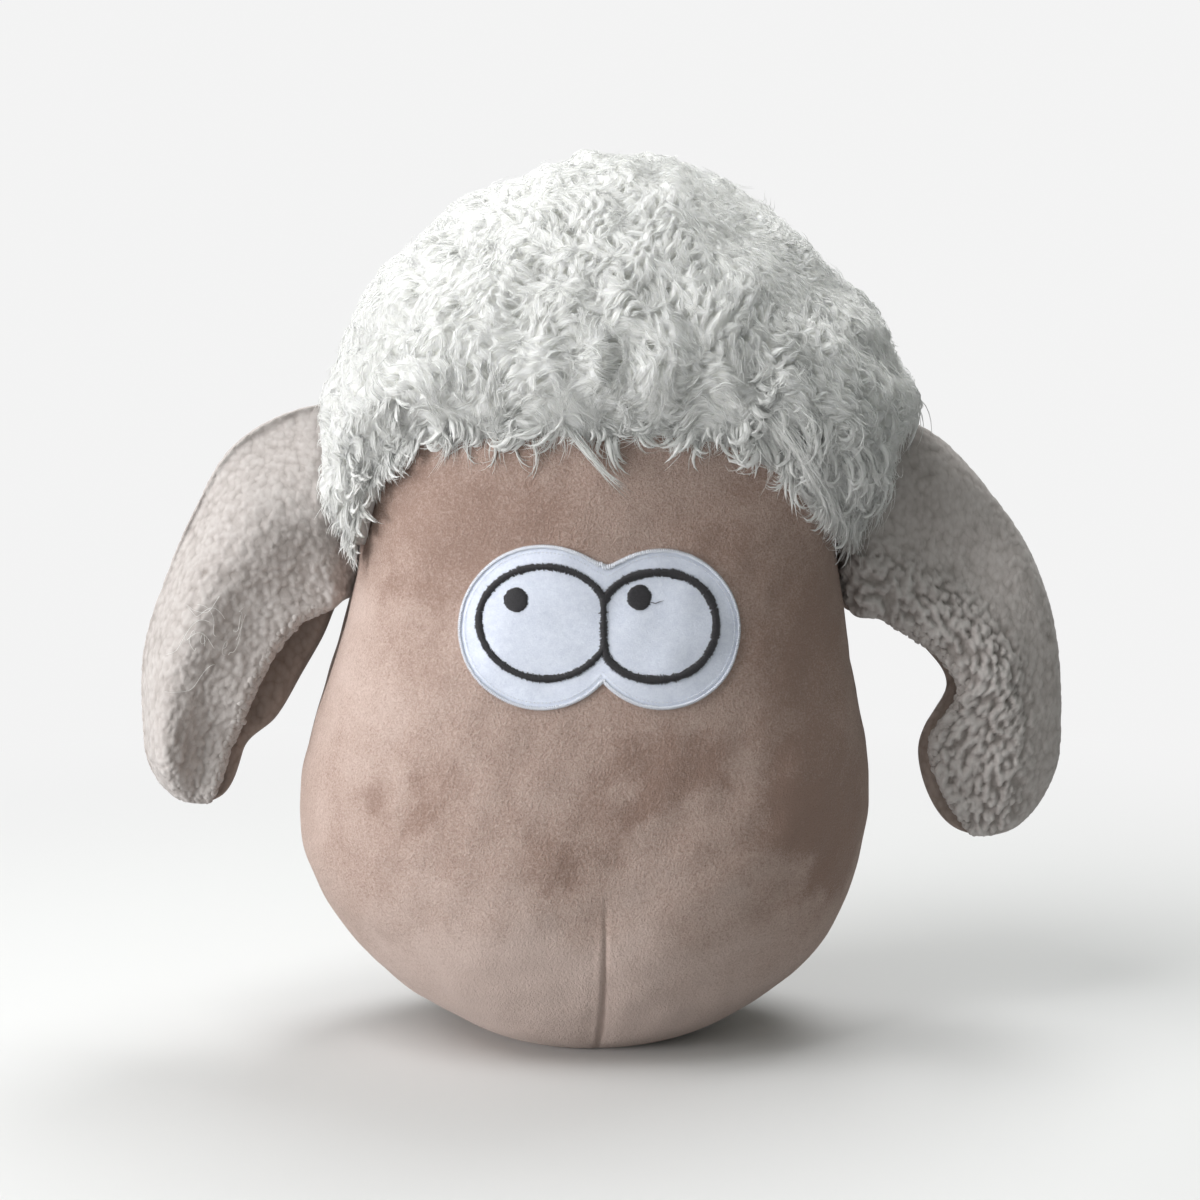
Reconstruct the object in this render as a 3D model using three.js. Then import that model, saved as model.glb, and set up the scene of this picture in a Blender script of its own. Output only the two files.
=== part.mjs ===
// A stuffed plush sheep head that stands on a table by itself: a filled head in short brown plush,
// a curly white wool cap, a felt eye patch with satin stitched eyes, and two folded fleece ears.
// Millimetres, +Z up. The face looks along -Y, and the origin is on the table under the head.
import * as THREE from "three";

const { abs, cos, exp, hypot, max, min, pow, sign, sin, sqrt, PI } = Math;
const quarterTurn = PI / 2;

// Head, over the short plush
const crownHeight = 411;
const cheekHeight = 120;
const browHeight = 262;
const cheekHalfWidth = 142.5;
const browHalfWidth = 117.5;
const muzzleDepth = 98;
const foreheadDepth = 87;
const napeDepth = 84;
const crownBackDepth = 77;
const crownLean = 14;
const pressedFlat = 5.5;
const plushThickness = 3;
const panelGap = 0.3;
const fillingClearance = 0.5;
const dartHeight = 84;
const dartDepth = 3.2;
const dartHalfWidth = 5;

// How full the head is: 2 is an ellipse, and more is boxier
const sideFullness = 2;
const muzzleFullness = 2.6;
const crownFullness = 2.3;
const girthFullness = 2.3;
const leanBend = 1.6;

// Wool cap
const woolPile = 28;
const woolHemPile = 8;
const woolHemRise = 36;
const woolHemRoll = 1.5;
const woolBrushedAside = 5;
const foreheadHemHeight = 307;
const templeHemHeight = 250;
const napeHemHeight = 250;
const earNotchRise = 14;
const earNotchHalfDepth = 12;
const earNotchFade = 17;
const leftHemShares = [0, 0.1, 0.75, 0.88, 0.95, 1];
const rightHemShares = [0, 0.03, 0.12, 0.28, 0.66, 1];

// Felt eye patch and its stitching
const patchHeight = 217.7;
const patchCentreX = -3.6;
const patchLobeRadius = 38.6;
const patchLobeSpacing = 55.8;
const feltThickness = 1.2;
const borderWidth = 2.3;
const borderRaise = 0.9;
const layerGap = 0.3;
const feltGap = 0.45;
const eyeHalfWidth = 28.8;
const eyeHalfHeight = 27.6;
const eyeSpacing = 55.4;
const ringWidth = 3.6;
const ringRaise = 1.1;
const pupilRadius = 5.5;
const pupilRaise = 0.9;
const pupilOutwards = 10.6;
const pupilUp = 13.2;

// Ears
const earRootHeight = 318;
const earRootLength = 96;
const earReach = 110;
const leftEarDrop = 198;
const rightEarDrop = 223;
const earHalfThickness = 19;
const earForwardLean = 8;
const fleeceThickness = 7;
const waddingThickness = 4;
const liningThickness = 2.5;
const earEdgeInset = 6;
const earEdgeRounding = 3;
const stitchRowLength = 36;
const stitchRadius = 1.2;
const stitchCount = 8;

// Mesh steps
const faceAngles = [0, 1.6, 4.5, 10, 18, 27, 37, 48, 59, 68, 74, 78, 81.5, 85, 90];
const backAngles = [0, 16, 32, 47, 60, 68, 74, 78, 81.5, 85, 90];
const panelRows = 13;
const woolRows = 9;
const ringSides = 6;

const plushColour = new THREE.MeshStandardMaterial({ color: 0xa88f80, roughness: 0.95, metalness: 0 });
const backPlushColour = new THREE.MeshStandardMaterial({ color: 0xa38b7d, roughness: 0.95, metalness: 0 });
const woolColour = new THREE.MeshStandardMaterial({ color: 0xf0efe9, roughness: 0.9, metalness: 0 });
const fleeceColour = new THREE.MeshStandardMaterial({ color: 0xb5a79f, roughness: 1, metalness: 0 });
const liningColour = new THREE.MeshStandardMaterial({ color: 0x8f7d73, roughness: 0.95, metalness: 0 });
const fillingColour = new THREE.MeshStandardMaterial({ color: 0xf4f4f2, roughness: 1, metalness: 0 });
const feltColour = new THREE.MeshStandardMaterial({ color: 0xe6e9f2, roughness: 1, metalness: 0 });
const whiteThread = new THREE.MeshStandardMaterial({ color: 0xf3f4f8, roughness: 0.5, metalness: 0 });
const blackThread = new THREE.MeshStandardMaterial({ color: 0x2c2a2c, roughness: 0.45, metalness: 0 });
const brownThread = new THREE.MeshStandardMaterial({ color: 0x8a766b, roughness: 0.7, metalness: 0 });

const part = new THREE.Group();
const mix = (a, b, t) => a + (b - a) * t;
const point = (x, y, z) => new THREE.Vector3(x, y, z);
const asMany = (count, make) => Array.from({ length: count }, (unused, k) => make(k));

function smoothstep(t) {
  const c = min(1, max(0, t));
  return c * c * (3 - 2 * c);
}

// A smooth line through evenly spaced shares, read at t from 0 to 1.
function readShares(shares, t) {
  const place = min(1, max(0, t)) * (shares.length - 1);
  const k = min(shares.length - 2, Math.floor(place));
  const at = (n) => shares[min(shares.length - 1, max(0, n))];
  const u = place - k;
  const [a, b, c, d] = [at(k - 1), at(k), at(k + 1), at(k + 2)];
  return b + 0.5 * u * (c - a + u * (2 * a - 5 * b + 4 * c - d + u * (3 * (b - c) + d - a)));
}

// Triangles with two corners in one place, as at a pole, are left out.
function solidOf(triangles) {
  const sameShare = crownHeight * 1e-5;
  const kept = triangles.filter(
    ([a, b, c]) =>
      a.distanceTo(b) > sameShare && b.distanceTo(c) > sameShare && c.distanceTo(a) > sameShare,
  );
  return new THREE.BufferGeometry().setFromPoints(kept.flat());
}

// A layer of cloth between two grids of points. Across a row, then up the rows, turns outwards.
function layerBetween(outer, inner) {
  const triangles = [];
  const quad = (a, b, c, d) => triangles.push([a, b, c], [a, c, d]);
  const rows = outer.length - 1;
  const columns = outer[0].length - 1;
  for (let j = 0; j < rows; j += 1)
    for (let i = 0; i < columns; i += 1) {
      quad(outer[j][i], outer[j][i + 1], outer[j + 1][i + 1], outer[j + 1][i]);
      triangles.push([inner[j][i], inner[j + 1][i + 1], inner[j][i + 1]]);
      triangles.push([inner[j][i], inner[j + 1][i], inner[j + 1][i + 1]]);
    }
  for (let i = 0; i < columns; i += 1) {
    quad(outer[0][i], inner[0][i], inner[0][i + 1], outer[0][i + 1]);
    quad(outer[rows][i], outer[rows][i + 1], inner[rows][i + 1], inner[rows][i]);
  }
  for (let j = 0; j < rows; j += 1) {
    quad(outer[j][0], outer[j + 1][0], inner[j + 1][0], inner[j][0]);
    quad(outer[j][columns], inner[j][columns], inner[j + 1][columns], outer[j + 1][columns]);
  }
  return solidOf(triangles);
}

// A solid through closed rings, each capped by its middle point at the two ends.
function solidThroughRings(rings) {
  const triangles = [];
  const count = rings[0].length;
  const middle = (ring) => ring.reduce((sum, p) => sum.add(p), point(0, 0, 0)).divideScalar(count);
  const first = middle(rings[0]);
  const last = middle(rings[rings.length - 1]);
  for (let i = 0; i < count; i += 1) {
    const next = (i + 1) % count;
    triangles.push([first, rings[0][next], rings[0][i]]);
    triangles.push([last, rings[rings.length - 1][i], rings[rings.length - 1][next]]);
    for (let k = 0; k + 1 < rings.length; k += 1) {
      triangles.push([rings[k][i], rings[k][next], rings[k + 1][next]]);
      triangles.push([rings[k][i], rings[k + 1][next], rings[k + 1][i]]);
    }
  }
  return solidOf(triangles);
}

// The same for a tube that closes on itself.
function closedTube(rings) {
  const triangles = [];
  rings.forEach((ring, k) => {
    const after = rings[(k + 1) % rings.length];
    ring.forEach((p, i) => {
      const next = (i + 1) % ring.length;
      triangles.push([p, ring[next], after[next]], [p, after[next], after[i]]);
    });
  });
  return solidOf(triangles);
}

function add(name, geometry, material, parent = part) {
  const mesh = new THREE.Mesh(geometry, material);
  mesh.name = name;
  parent.add(mesh);
}

// Head shape
const upTheFace = (z) => smoothstep((z - cheekHeight) / (browHeight - cheekHeight));
const leanAt = (z) => crownLean * pow(max(0, z) / crownHeight, leanBend);

// The share of the full size that is left at height z, below the cheeks and above the brow.
function endRounding(z, fullness) {
  if (z < cheekHeight) {
    const drop = (cheekHeight - z) / (cheekHeight + pressedFlat);
    return pow(1 - pow(drop, fullness), 1 / fullness);
  }
  const rise = max(0, z - browHeight) / (crownHeight - browHeight);
  return pow(max(0, 1 - pow(rise, crownFullness)), 1 / crownFullness);
}

const headHalfWidth = (z) =>
  mix(cheekHalfWidth, browHalfWidth, upTheFace(z)) * endRounding(z, sideFullness);

function headDepth(z, inFront) {
  const low = inFront ? muzzleDepth : napeDepth;
  const high = inFront ? foreheadDepth : crownBackDepth;
  return mix(low, high, upTheFace(z)) * endRounding(z, muzzleFullness);
}

const dartFold = (x, z) => dartDepth * exp(-((x / dartHalfWidth) ** 2)) * (1 - smoothstep(z / dartHeight));

// A point on the plush at an angle round the head, from +X towards the back, and at height z.
function headPoint(angle, z) {
  const [c, s] = [cos(angle), sin(angle)];
  const across = headHalfWidth(z) * sign(c) * pow(abs(c), 2 / girthFullness);
  const along = headDepth(z, s < 0) * sign(s) * pow(abs(s), 2 / girthFullness);
  const fold = s < 0 ? dartFold(across, z) : 0;
  return point(across + leanAt(z), along + fold, z);
}

function headNormal(angle, z) {
  const turn = 1e-3;
  const rise = crownHeight * 1e-4;
  const low = max(0, z - rise);
  const high = min(crownHeight * 0.9995, low + 2 * rise);
  const around = headPoint(angle + turn, z).sub(headPoint(angle - turn, z));
  const upwards = headPoint(angle, high).sub(headPoint(angle, low));
  const normal = around.cross(upwards).normalize();
  return z > 0 ? normal : normal.add(point(0, 0, -1)).normalize();
}

// The plush ends and the wool begins at this height: low at the temples, and just over each ear's root.
function hemHeight(angle) {
  const inFront = sin(angle) < 0;
  const turned = abs(sin(angle));
  const frontShare = readShares(cos(angle) < 0 ? leftHemShares : rightHemShares, turned);
  const hem = inFront
    ? mix(templeHemHeight, foreheadHemHeight, frontShare)
    : mix(templeHemHeight, napeHemHeight, turned);
  const fromSeam = abs(headPoint(angle, browHeight).y);
  const notch = 1 - smoothstep((fromSeam - earNotchHalfDepth) / earNotchFade);
  return mix(hem, earRootHeight + earNotchRise, notch);
}

// One row of points round the head. Row 0 is where the seams meet under it, and the last row is the crown.
function headRowPoint(angle, row, offset) {
  const hem = hemHeight(angle);
  if (row === 0) return point(0, 0, -offset);
  if (row === panelRows + woolRows) return point(leanAt(crownHeight), 0, crownHeight + offset);
  const low = hem * pow((row - 1) / (panelRows - 1), 1.35);
  const high = mix(hem, crownHeight, sin((quarterTurn * (row - panelRows)) / woolRows));
  const z = row <= panelRows ? low : high;
  return headPoint(angle, z).addScaledVector(headNormal(angle, z), offset);
}

const degrees = (list, from, way) => list.map((a) => ((from + way * a) * PI) / 180);
const aroundFront = [...degrees(faceAngles, -90, -1).reverse(), ...degrees(faceAngles.slice(1), -90, 1)];
const aroundBack = [...degrees(backAngles, 90, -1).reverse(), ...degrees(backAngles.slice(1), 90, 1)];
const backLeftAngles = aroundBack.slice(backAngles.length - 1);
const backRightAngles = aroundBack.slice(0, backAngles.length);

// Moves the ends of a row in by half the gap that neighbouring pieces keep at a seam.
function openSeams(row) {
  const pull = (end, inner) => {
    const way = inner.clone().sub(end);
    return way.length() > panelGap ? end.clone().addScaledVector(way.normalize(), panelGap / 2) : end;
  };
  const last = row.length - 1;
  return [pull(row[0], row[1]), ...row.slice(1, last), pull(row[last], row[last - 1])];
}

function headGrid(angles, firstRow, lastRow, offsetAt) {
  return asMany(lastRow - firstRow + 1, (k) => {
    const row = firstRow + k;
    const made = angles.map((a) => headRowPoint(a, row, offsetAt(a, row)));
    if (row > 0 && row < panelRows + woolRows) return openSeams(made);
    const inwards = point(0, sin(angles[Math.floor(angles.length / 2)]) * (panelGap / 2), 0);
    return made.map((p) => p.add(inwards));
  });
}

function headPanel(angles) {
  return layerBetween(
    headGrid(angles, 0, panelRows, () => 0),
    headGrid(angles, 0, panelRows, () => -plushThickness),
  );
}

// Plush panels: one for the face, folded in at the chin by a dart, and two for the back
add("face_panel", headPanel(aroundFront), plushColour);
add("back_panel_left", headPanel(backLeftAngles), backPlushColour);
add("back_panel_right", headPanel(backRightAngles), backPlushColour);

// Wool cap: long pile that thins out towards its hem, seamed from ear to ear over the crown
function pileAt(angle, row) {
  if (row === panelRows + woolRows) return woolPile;
  const above = headRowPoint(angle, row, 0).z - hemHeight(angle);
  return mix(woolHemPile, woolPile, smoothstep(above / woolHemRise));
}

function woolPiece(angles) {
  const crownRow = panelRows + woolRows;
  const backing = headGrid(angles, panelRows, crownRow, () => -plushThickness);
  const pile = headGrid(angles, panelRows, crownRow, pileAt);
  pile.flat().forEach((p) => (p.x += woolBrushedAside * smoothstep(p.z / crownHeight)));
  const [sewnEdge] = headGrid(angles, panelRows, panelRows, () => 0);
  [sewnEdge, backing[0]].forEach((row) => row.forEach((p) => (p.z += panelGap)));
  pile[0].forEach((p) => (p.z += woolHemRoll));
  const secondRow = backing[0].map((p, i) => p.clone().lerp(backing[1][i], 0.2));
  return layerBetween([sewnEdge, ...pile], [backing[0], secondRow, ...backing.slice(1)]);
}

add("wool_front", woolPiece(aroundFront), woolColour);
add("wool_rear", woolPiece(aroundBack), woolColour);

// Polyester filling of the whole head
const fillingOffset = -(plushThickness + fillingClearance);
const allAround = [...aroundFront, ...aroundBack.slice(1, -1)];
const fillingRings = asMany(panelRows + woolRows + 1, (row) =>
  allAround.map((a) => headRowPoint(a, row, fillingOffset)),
);
add("filling", solidThroughRings(fillingRings), fillingColour);

// A point at (x, z) seen from the front, and lifted off the face panel by an offset
const facePanel = part.getObjectByName("face_panel");
const lookThrough = new THREE.Raycaster();

function facePoint(x, z, offset) {
  lookThrough.set(point(x, -2 * muzzleDepth, z), point(0, 1, 0));
  const [onPanel] = lookThrough.intersectObject(facePanel);
  const share = min(1, abs(x - leanAt(z)) / headHalfWidth(z));
  const angle = -Math.acos(sign(x - leanAt(z)) * pow(share, girthFullness / 2));
  return onPanel.point.clone().addScaledVector(headNormal(angle, z), offset);
}

// A felt patch in the shape of two discs that run into each other
const patchRadiusAt = (a, inset) =>
  max(
    ...[1, -1].map((side) => {
      const across = (side * patchLobeSpacing) / 2;
      return across * cos(a) + sqrt((patchLobeRadius - inset) ** 2 - (across * sin(a)) ** 2);
    }),
  );
const onPatch = (a, radius, offset) =>
  facePoint(patchCentreX + radius * cos(a), patchHeight + radius * sin(a), offset);

const feltBottom = feltGap;
const feltTop = feltBottom + feltThickness;
const patchSteps = 40;
const patchAngles = asMany(patchSteps, (k) => (k / patchSteps) * 2 * PI);
const patchShares = [1, 0.86, 0.71, 0.55, 0.38, 0.2, 0];
const feltRings = (offset) =>
  patchShares.map((share) =>
    patchAngles.map((a) => onPatch(a, share * patchRadiusAt(a, borderWidth + layerGap), offset)),
  );
const feltLayers = [...feltRings(feltBottom).reverse(), ...feltRings(feltTop)];
add("eye_patch", solidThroughRings(feltLayers), feltColour);

// A band of satin stitches: a flattened tube that lies along a line on the face
function satinRing(line, k, closed, width, bottom, raise) {
  const before = line[closed ? (k + line.length - 1) % line.length : max(0, k - 1)];
  const after = line[closed ? (k + 1) % line.length : min(line.length - 1, k + 1)];
  const [dx, dz] = [after[0] - before[0], after[1] - before[1]];
  const length = hypot(dx, dz);
  const [ux, uz] = [-dz / length, dx / length];
  return asMany(ringSides, (n) => {
    const a = (n / ringSides) * 2 * PI;
    const sideways = (width / 2) * cos(a);
    const lifted = bottom + (raise / 2) * (1 + sin(a));
    return facePoint(line[k][0] + ux * sideways, line[k][1] + uz * sideways, lifted);
  });
}

const borderLine = patchAngles.map((a) => {
  const radius = patchRadiusAt(a, borderWidth / 2);
  return [patchCentreX + radius * cos(a), patchHeight + radius * sin(a)];
});
const borderRings = borderLine.map((unused, k) =>
  satinRing(borderLine, k, true, borderWidth, feltBottom, feltThickness + borderRaise),
);
add("patch_border_stitch", closedTube(borderRings), whiteThread);

// The left eye is a whole loop, flat where the two eyes share one bar, and the right eye meets that bar.
const stitchBottom = feltTop + layerGap;
const barX = patchCentreX;
const eyeCentreX = (side) => patchCentreX + (side * eyeSpacing) / 2;
const eyeSteps = 40;
const leftEyeLine = asMany(eyeSteps, (k) => {
  const a = (k / eyeSteps) * 2 * PI;
  const x = eyeCentreX(-1) + eyeHalfWidth * cos(a);
  return [min(barX, x), patchHeight + eyeHalfHeight * sin(a)];
});
add(
  "eye_outline_left",
  closedTube(
    leftEyeLine.map((unused, k) => satinRing(leftEyeLine, k, true, ringWidth, stitchBottom, ringRaise)),
  ),
  blackThread,
);
const meetingX = barX + ringWidth / 2 + layerGap * 2;
const meetingAngle = Math.acos((eyeCentreX(1) - meetingX) / eyeHalfWidth);
const rightEyeLine = asMany(eyeSteps, (k) => {
  const a = mix(meetingAngle - PI, PI - meetingAngle, k / (eyeSteps - 1));
  return [eyeCentreX(1) + eyeHalfWidth * cos(a), patchHeight + eyeHalfHeight * sin(a)];
});
add(
  "eye_outline_right",
  solidThroughRings(
    rightEyeLine.map((unused, k) => satinRing(rightEyeLine, k, false, ringWidth, stitchBottom, ringRaise)),
  ),
  blackThread,
);

// Pupils: two padded satin dots that look up and to one side
function pupil(side) {
  const [x, z] = [eyeCentreX(side) - pupilOutwards, patchHeight + pupilUp];
  const disc = (share, offset) =>
    asMany(16, (k) => {
      const a = (k / 16) * 2 * PI;
      return facePoint(x + share * pupilRadius * cos(a), z + share * pupilRadius * sin(a), offset);
    });
  const top = stitchBottom + pupilRaise;
  return solidThroughRings([
    disc(0.92, stitchBottom),
    disc(1, mix(stitchBottom, top, 0.4)),
    disc(0.8, mix(stitchBottom, top, 0.9)),
    disc(0.3, top),
  ]);
}

add("pupil_left", pupil(-1), blackThread);
add("pupil_right", pupil(1), blackThread);

// The straight line that an ear is sewn along clears the swell of the head's side.
const earRootBottom = earRootHeight - earRootLength;
const chordHalfWidth = (z) =>
  mix(headHalfWidth(earRootHeight), headHalfWidth(earRootBottom), (earRootHeight - z) / earRootLength);
const sideSwell = max(
  ...asMany(25, (k) => {
    const z = earRootHeight - (earRootLength * k) / 24;
    return headHalfWidth(z) - chordHalfWidth(z);
  }),
);
const stitchClearance = sideSwell + panelGap + stitchRadius;
const rootClearance = stitchClearance + stitchRadius + layerGap;

function seamPoint(side, z, clearance) {
  const top = side * (headHalfWidth(earRootHeight) + clearance) + leanAt(earRootHeight);
  const bottom = side * (headHalfWidth(earRootBottom) + clearance) + leanAt(earRootBottom);
  return point(mix(top, bottom, (earRootHeight - z) / earRootLength), 0, z);
}

// The row of stitches that holds an ear to the head
function stitchRow(side) {
  const top = seamPoint(side, earRootHeight - stitchRadius, stitchClearance);
  const bottom = seamPoint(side, earRootHeight - stitchRowLength, stitchClearance);
  const steps = 2 * stitchCount;
  return solidThroughRings(
    asMany(steps + 1, (k) => {
      const centre = bottom.clone().lerp(top, k / steps);
      const radius = k % 2 ? stitchRadius : 0.6 * stitchRadius;
      return asMany(ringSides, (n) => {
        const a = (n / ringSides) * 2 * PI;
        return centre.clone().add(point(radius * cos(a), radius * sin(a), 0));
      });
    }),
  );
}

// Each ear hangs folded lengthwise, its fold outside and its open edges towards the cheek.
// The tables are shares of the reach and the drop, from the root to the tip.
const leftEar = {
  side: -1,
  drop: leftEarDrop,
  foldOutShares: [0, 0.348, 0.639, 0.812, 0.944, 1.048, 1.053, 0.884],
  foldDownShares: [0, 0.015, 0.109, 0.268, 0.434, 0.616, 0.838, 0.99],
  edgeOutShares: [0.132, 0.166, 0.198, 0.253, 0.348, 0.466, 0.612, 0.785],
  edgeDownShares: [0.485, 0.49, 0.525, 0.596, 0.687, 0.793, 0.869, 1.005],
  frontWidthShares: [1, 1, 0.97, 0.84, 0.79, 0.8, 0.87, 0.75],
};
const rightEar = {
  side: 1,
  drop: rightEarDrop,
  foldOutShares: [0, 0.215, 0.461, 0.688, 0.875, 0.997, 0.993, 0.74],
  foldDownShares: [0, 0.022, 0.096, 0.22, 0.354, 0.543, 0.785, 0.991],
  edgeOutShares: [0.057, 0.07, 0.152, 0.279, 0.415, 0.506, 0.375, 0.58],
  edgeDownShares: [0.43, 0.48, 0.489, 0.525, 0.574, 0.659, 0.789, 1],
  frontWidthShares: [1, 1, 1, 1, 1, 1, 0.97, 0.4],
};
const earThicknessShares = [0.29, 0.76, 0.95, 1, 1, 0.97, 0.85, 0.5];
const earRows = 13;
const foldSteps = 6;
const earTipSteps = 12;
const waddingRows = [2, earRows - 2];

// A point of an ear in the plane of its outline
function earOutlinePoint(ear, outShares, downShares, r) {
  const root = seamPoint(ear.side, earRootHeight, rootClearance);
  const out = ear.side * earReach * readShares(outShares, r);
  return point(root.x + out, 0, root.z - ear.drop * readShares(downShares, r));
}

// One row of points across the folded ear, from the front edge round the fold to the back edge.
// A flap's edge is rounded over the first of its steps, and `inset` is counted in those steps.
function earRow(ear, r, depthAt, inset) {
  const half = earHalfThickness * readShares(earThicknessShares, r);
  const thin = half / earHalfThickness;
  const fold = earOutlinePoint(ear, ear.foldOutShares, ear.foldDownShares, r);
  const edge = earOutlinePoint(ear, ear.edgeOutShares, ear.edgeDownShares, r);
  const inwards = edge.clone().sub(fold);
  const width = inwards.length();
  inwards.normalize();
  const forward = -earForwardLean * r;
  const place = (n, y) => fold.clone().addScaledVector(inwards, n).add(point(0, forward + y, 0));
  const fromTip = (1 - r) * earTipSteps;
  const levelAt = (steps) => half - depthAt(thin, min(steps, fromTip));
  const flap = (way, flapWidth) => {
    const run = flapWidth - half;
    const step = min(earEdgeInset, run / 4);
    const far = run / step;
    return [inset, max(inset, 0.5), max(inset, 1.5), mix(2, far, 0.35), mix(2, far, 0.7), far].map(
      (steps) => place(flapWidth - steps * step, way * levelAt(steps)),
    );
  };
  const level = levelAt(fromTip);
  const round = asMany(foldSteps - 1, (k) => {
    const a = (PI * (k + 1)) / foldSteps;
    return place(half - level * sin(a), -level * cos(a));
  });
  const front = flap(-1, width * readShares(ear.frontWidthShares, r));
  return [...front, ...round, ...flap(1, width).reverse()];
}

function earLayer(ear, outerDepth, innerDepth, inset = 0, [first, last] = [0, earRows]) {
  const grid = (depthAt) =>
    asMany(last - first + 1, (j) => {
      const row = earRow(ear, (first + j) / earRows, depthAt, inset);
      return ear.side > 0 ? row.reverse() : row;
    });
  return layerBetween(grid(outerDepth), grid(innerDepth));
}

// How deep each layer's faces lie below the fleece, where the ear is thinned by the share `thin`.
const fleeceOuter = (thin, steps) => earEdgeRounding * thin * (1 - smoothstep(steps));
const waddingOuter = (thin) => fleeceThickness * thin + layerGap;
const waddingInner = (thin) => (fleeceThickness + waddingThickness) * thin + layerGap;
const liningOuter = (thin) => waddingInner(thin) + layerGap;
const liningInner = (thin) => liningOuter(thin) + liningThickness * thin;
const fleeceInner = (thin, steps) =>
  mix(liningOuter(thin) - layerGap, fleeceThickness * thin, smoothstep(steps - 0.5));

[leftEar, rightEar].forEach((ear) => {
  const name = ear.side < 0 ? "left" : "right";
  add(`ear_${name}_fleece`, earLayer(ear, fleeceOuter, fleeceInner), fleeceColour);
  const wadding = earLayer(ear, waddingOuter, waddingInner, 2, waddingRows);
  add(`ear_${name}_wadding`, wadding, fillingColour);
  add(`ear_${name}_lining`, earLayer(ear, liningOuter, liningInner), liningColour);
  add(`ear_${name}_stitching`, stitchRow(ear.side), brownThread);
});

export default part;
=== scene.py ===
import bpy
import numpy as np
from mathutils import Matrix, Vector


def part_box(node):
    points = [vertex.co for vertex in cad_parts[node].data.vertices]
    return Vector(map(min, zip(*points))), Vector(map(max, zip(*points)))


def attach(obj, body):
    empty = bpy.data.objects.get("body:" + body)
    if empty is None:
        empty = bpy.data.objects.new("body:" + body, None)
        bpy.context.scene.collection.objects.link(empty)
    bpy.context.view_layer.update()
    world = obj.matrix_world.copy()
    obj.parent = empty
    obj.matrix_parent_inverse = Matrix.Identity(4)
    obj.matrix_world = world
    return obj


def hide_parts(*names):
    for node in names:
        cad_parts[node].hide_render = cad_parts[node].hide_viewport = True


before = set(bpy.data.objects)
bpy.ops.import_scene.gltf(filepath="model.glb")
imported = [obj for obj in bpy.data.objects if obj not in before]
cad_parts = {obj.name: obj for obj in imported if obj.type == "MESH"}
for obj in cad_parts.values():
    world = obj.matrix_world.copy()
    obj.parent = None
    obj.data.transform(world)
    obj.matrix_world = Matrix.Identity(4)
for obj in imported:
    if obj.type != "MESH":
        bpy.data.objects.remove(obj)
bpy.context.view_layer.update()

# Camera. It looks at the face from eye level of a child at the table: a little from the left and from
# above, and far enough away for the ears to keep their true size beside the face.
camera_azimuth = np.radians(-5)
camera_elevation = np.radians(8)
camera_distance = 1.3
seen_width = 0.6
aim_sideways = 0.0035
aim_height = 0.2184
sensor_width = 0.036

backwards = Vector((
    np.sin(camera_azimuth) * np.cos(camera_elevation),
    -np.cos(camera_azimuth) * np.cos(camera_elevation),
    np.sin(camera_elevation),
))
aim = Vector((aim_sideways * np.cos(camera_azimuth), aim_sideways * np.sin(camera_azimuth), aim_height))
lens = bpy.data.cameras.new("camera")
lens.sensor_width = sensor_width * 1000
lens.lens = sensor_width * 1000 * camera_distance / seen_width
camera = bpy.data.objects.new("camera", lens)
camera.location = aim + backwards * camera_distance
camera.rotation_mode = "QUATERNION"
camera.rotation_quaternion = backwards.to_track_quat("Z", "Y")
bpy.context.scene.collection.objects.link(camera)
bpy.context.scene.camera = camera
bpy.context.scene.view_settings.view_transform = "Standard"

# Light. A wide soft lamp low on the left as from a window, weaker ones in front, above and behind, and a
# pale room all round. What the camera sees past the object is one plain near white.
backdrop_tone = 0.9
room_tint = (0.90, 1.0, 0.91, 1)
room_strength = 0.15


def add_lamp(name, place, width, watts):
    """A square lamp of this width at `place`, turned towards the middle of the head."""
    light = bpy.data.lights.new(name, "AREA")
    light.size = width
    light.energy = watts
    lamp = bpy.data.objects.new(name, light)
    lamp.location = place
    lamp.rotation_mode = "QUATERNION"
    lamp.rotation_quaternion = (Vector(place) - aim).to_track_quat("Z", "Y")
    bpy.context.scene.collection.objects.link(lamp)


add_lamp("left_lamp", (-1.85, -0.80, 0.26), 0.9, 34)
add_lamp("front_lamp", (-0.8, -1.8, 0.7), 1.2, 3)
add_lamp("top_lamp", (-1.0, -0.55, 1.75), 1.2, 23)
add_lamp("crown_lamp", (0.45, 0.62, 1.9), 1.2, 25)


def node_adder(tree):
    """The call that adds a node to this tree and gives one of its outputs. Settings in small letters are the
    node's own, and the others set or feed its inputs, by their names or as in_ and a number."""

    def node(kind, out=0, **settings):
        made = tree.nodes.new(f"ShaderNode{kind}")
        for key, value in settings.items():
            if key.startswith("in_"):
                given = made.inputs[int(key[3:])]
            elif key[0].isupper():
                given = made.inputs[key.replace("_", " ")]
            else:
                setattr(made, key, value)
                continue
            if isinstance(value, bpy.types.NodeSocket):
                tree.links.new(value, given)
            else:
                given.default_value = value
        return made.outputs[out]

    return node


def seen_directly(node):
    """1 for what the camera sees straight or in a gloss, and 0 for what only lights the object."""
    ray = node("LightPath", "Is Camera Ray")
    return node("Math", operation="MAXIMUM", in_0=ray, in_1=ray.node.outputs["Is Glossy Ray"])


def grey(tone):
    """A grey that is `tone` bright."""
    return (tone, tone, tone, 1)


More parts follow.
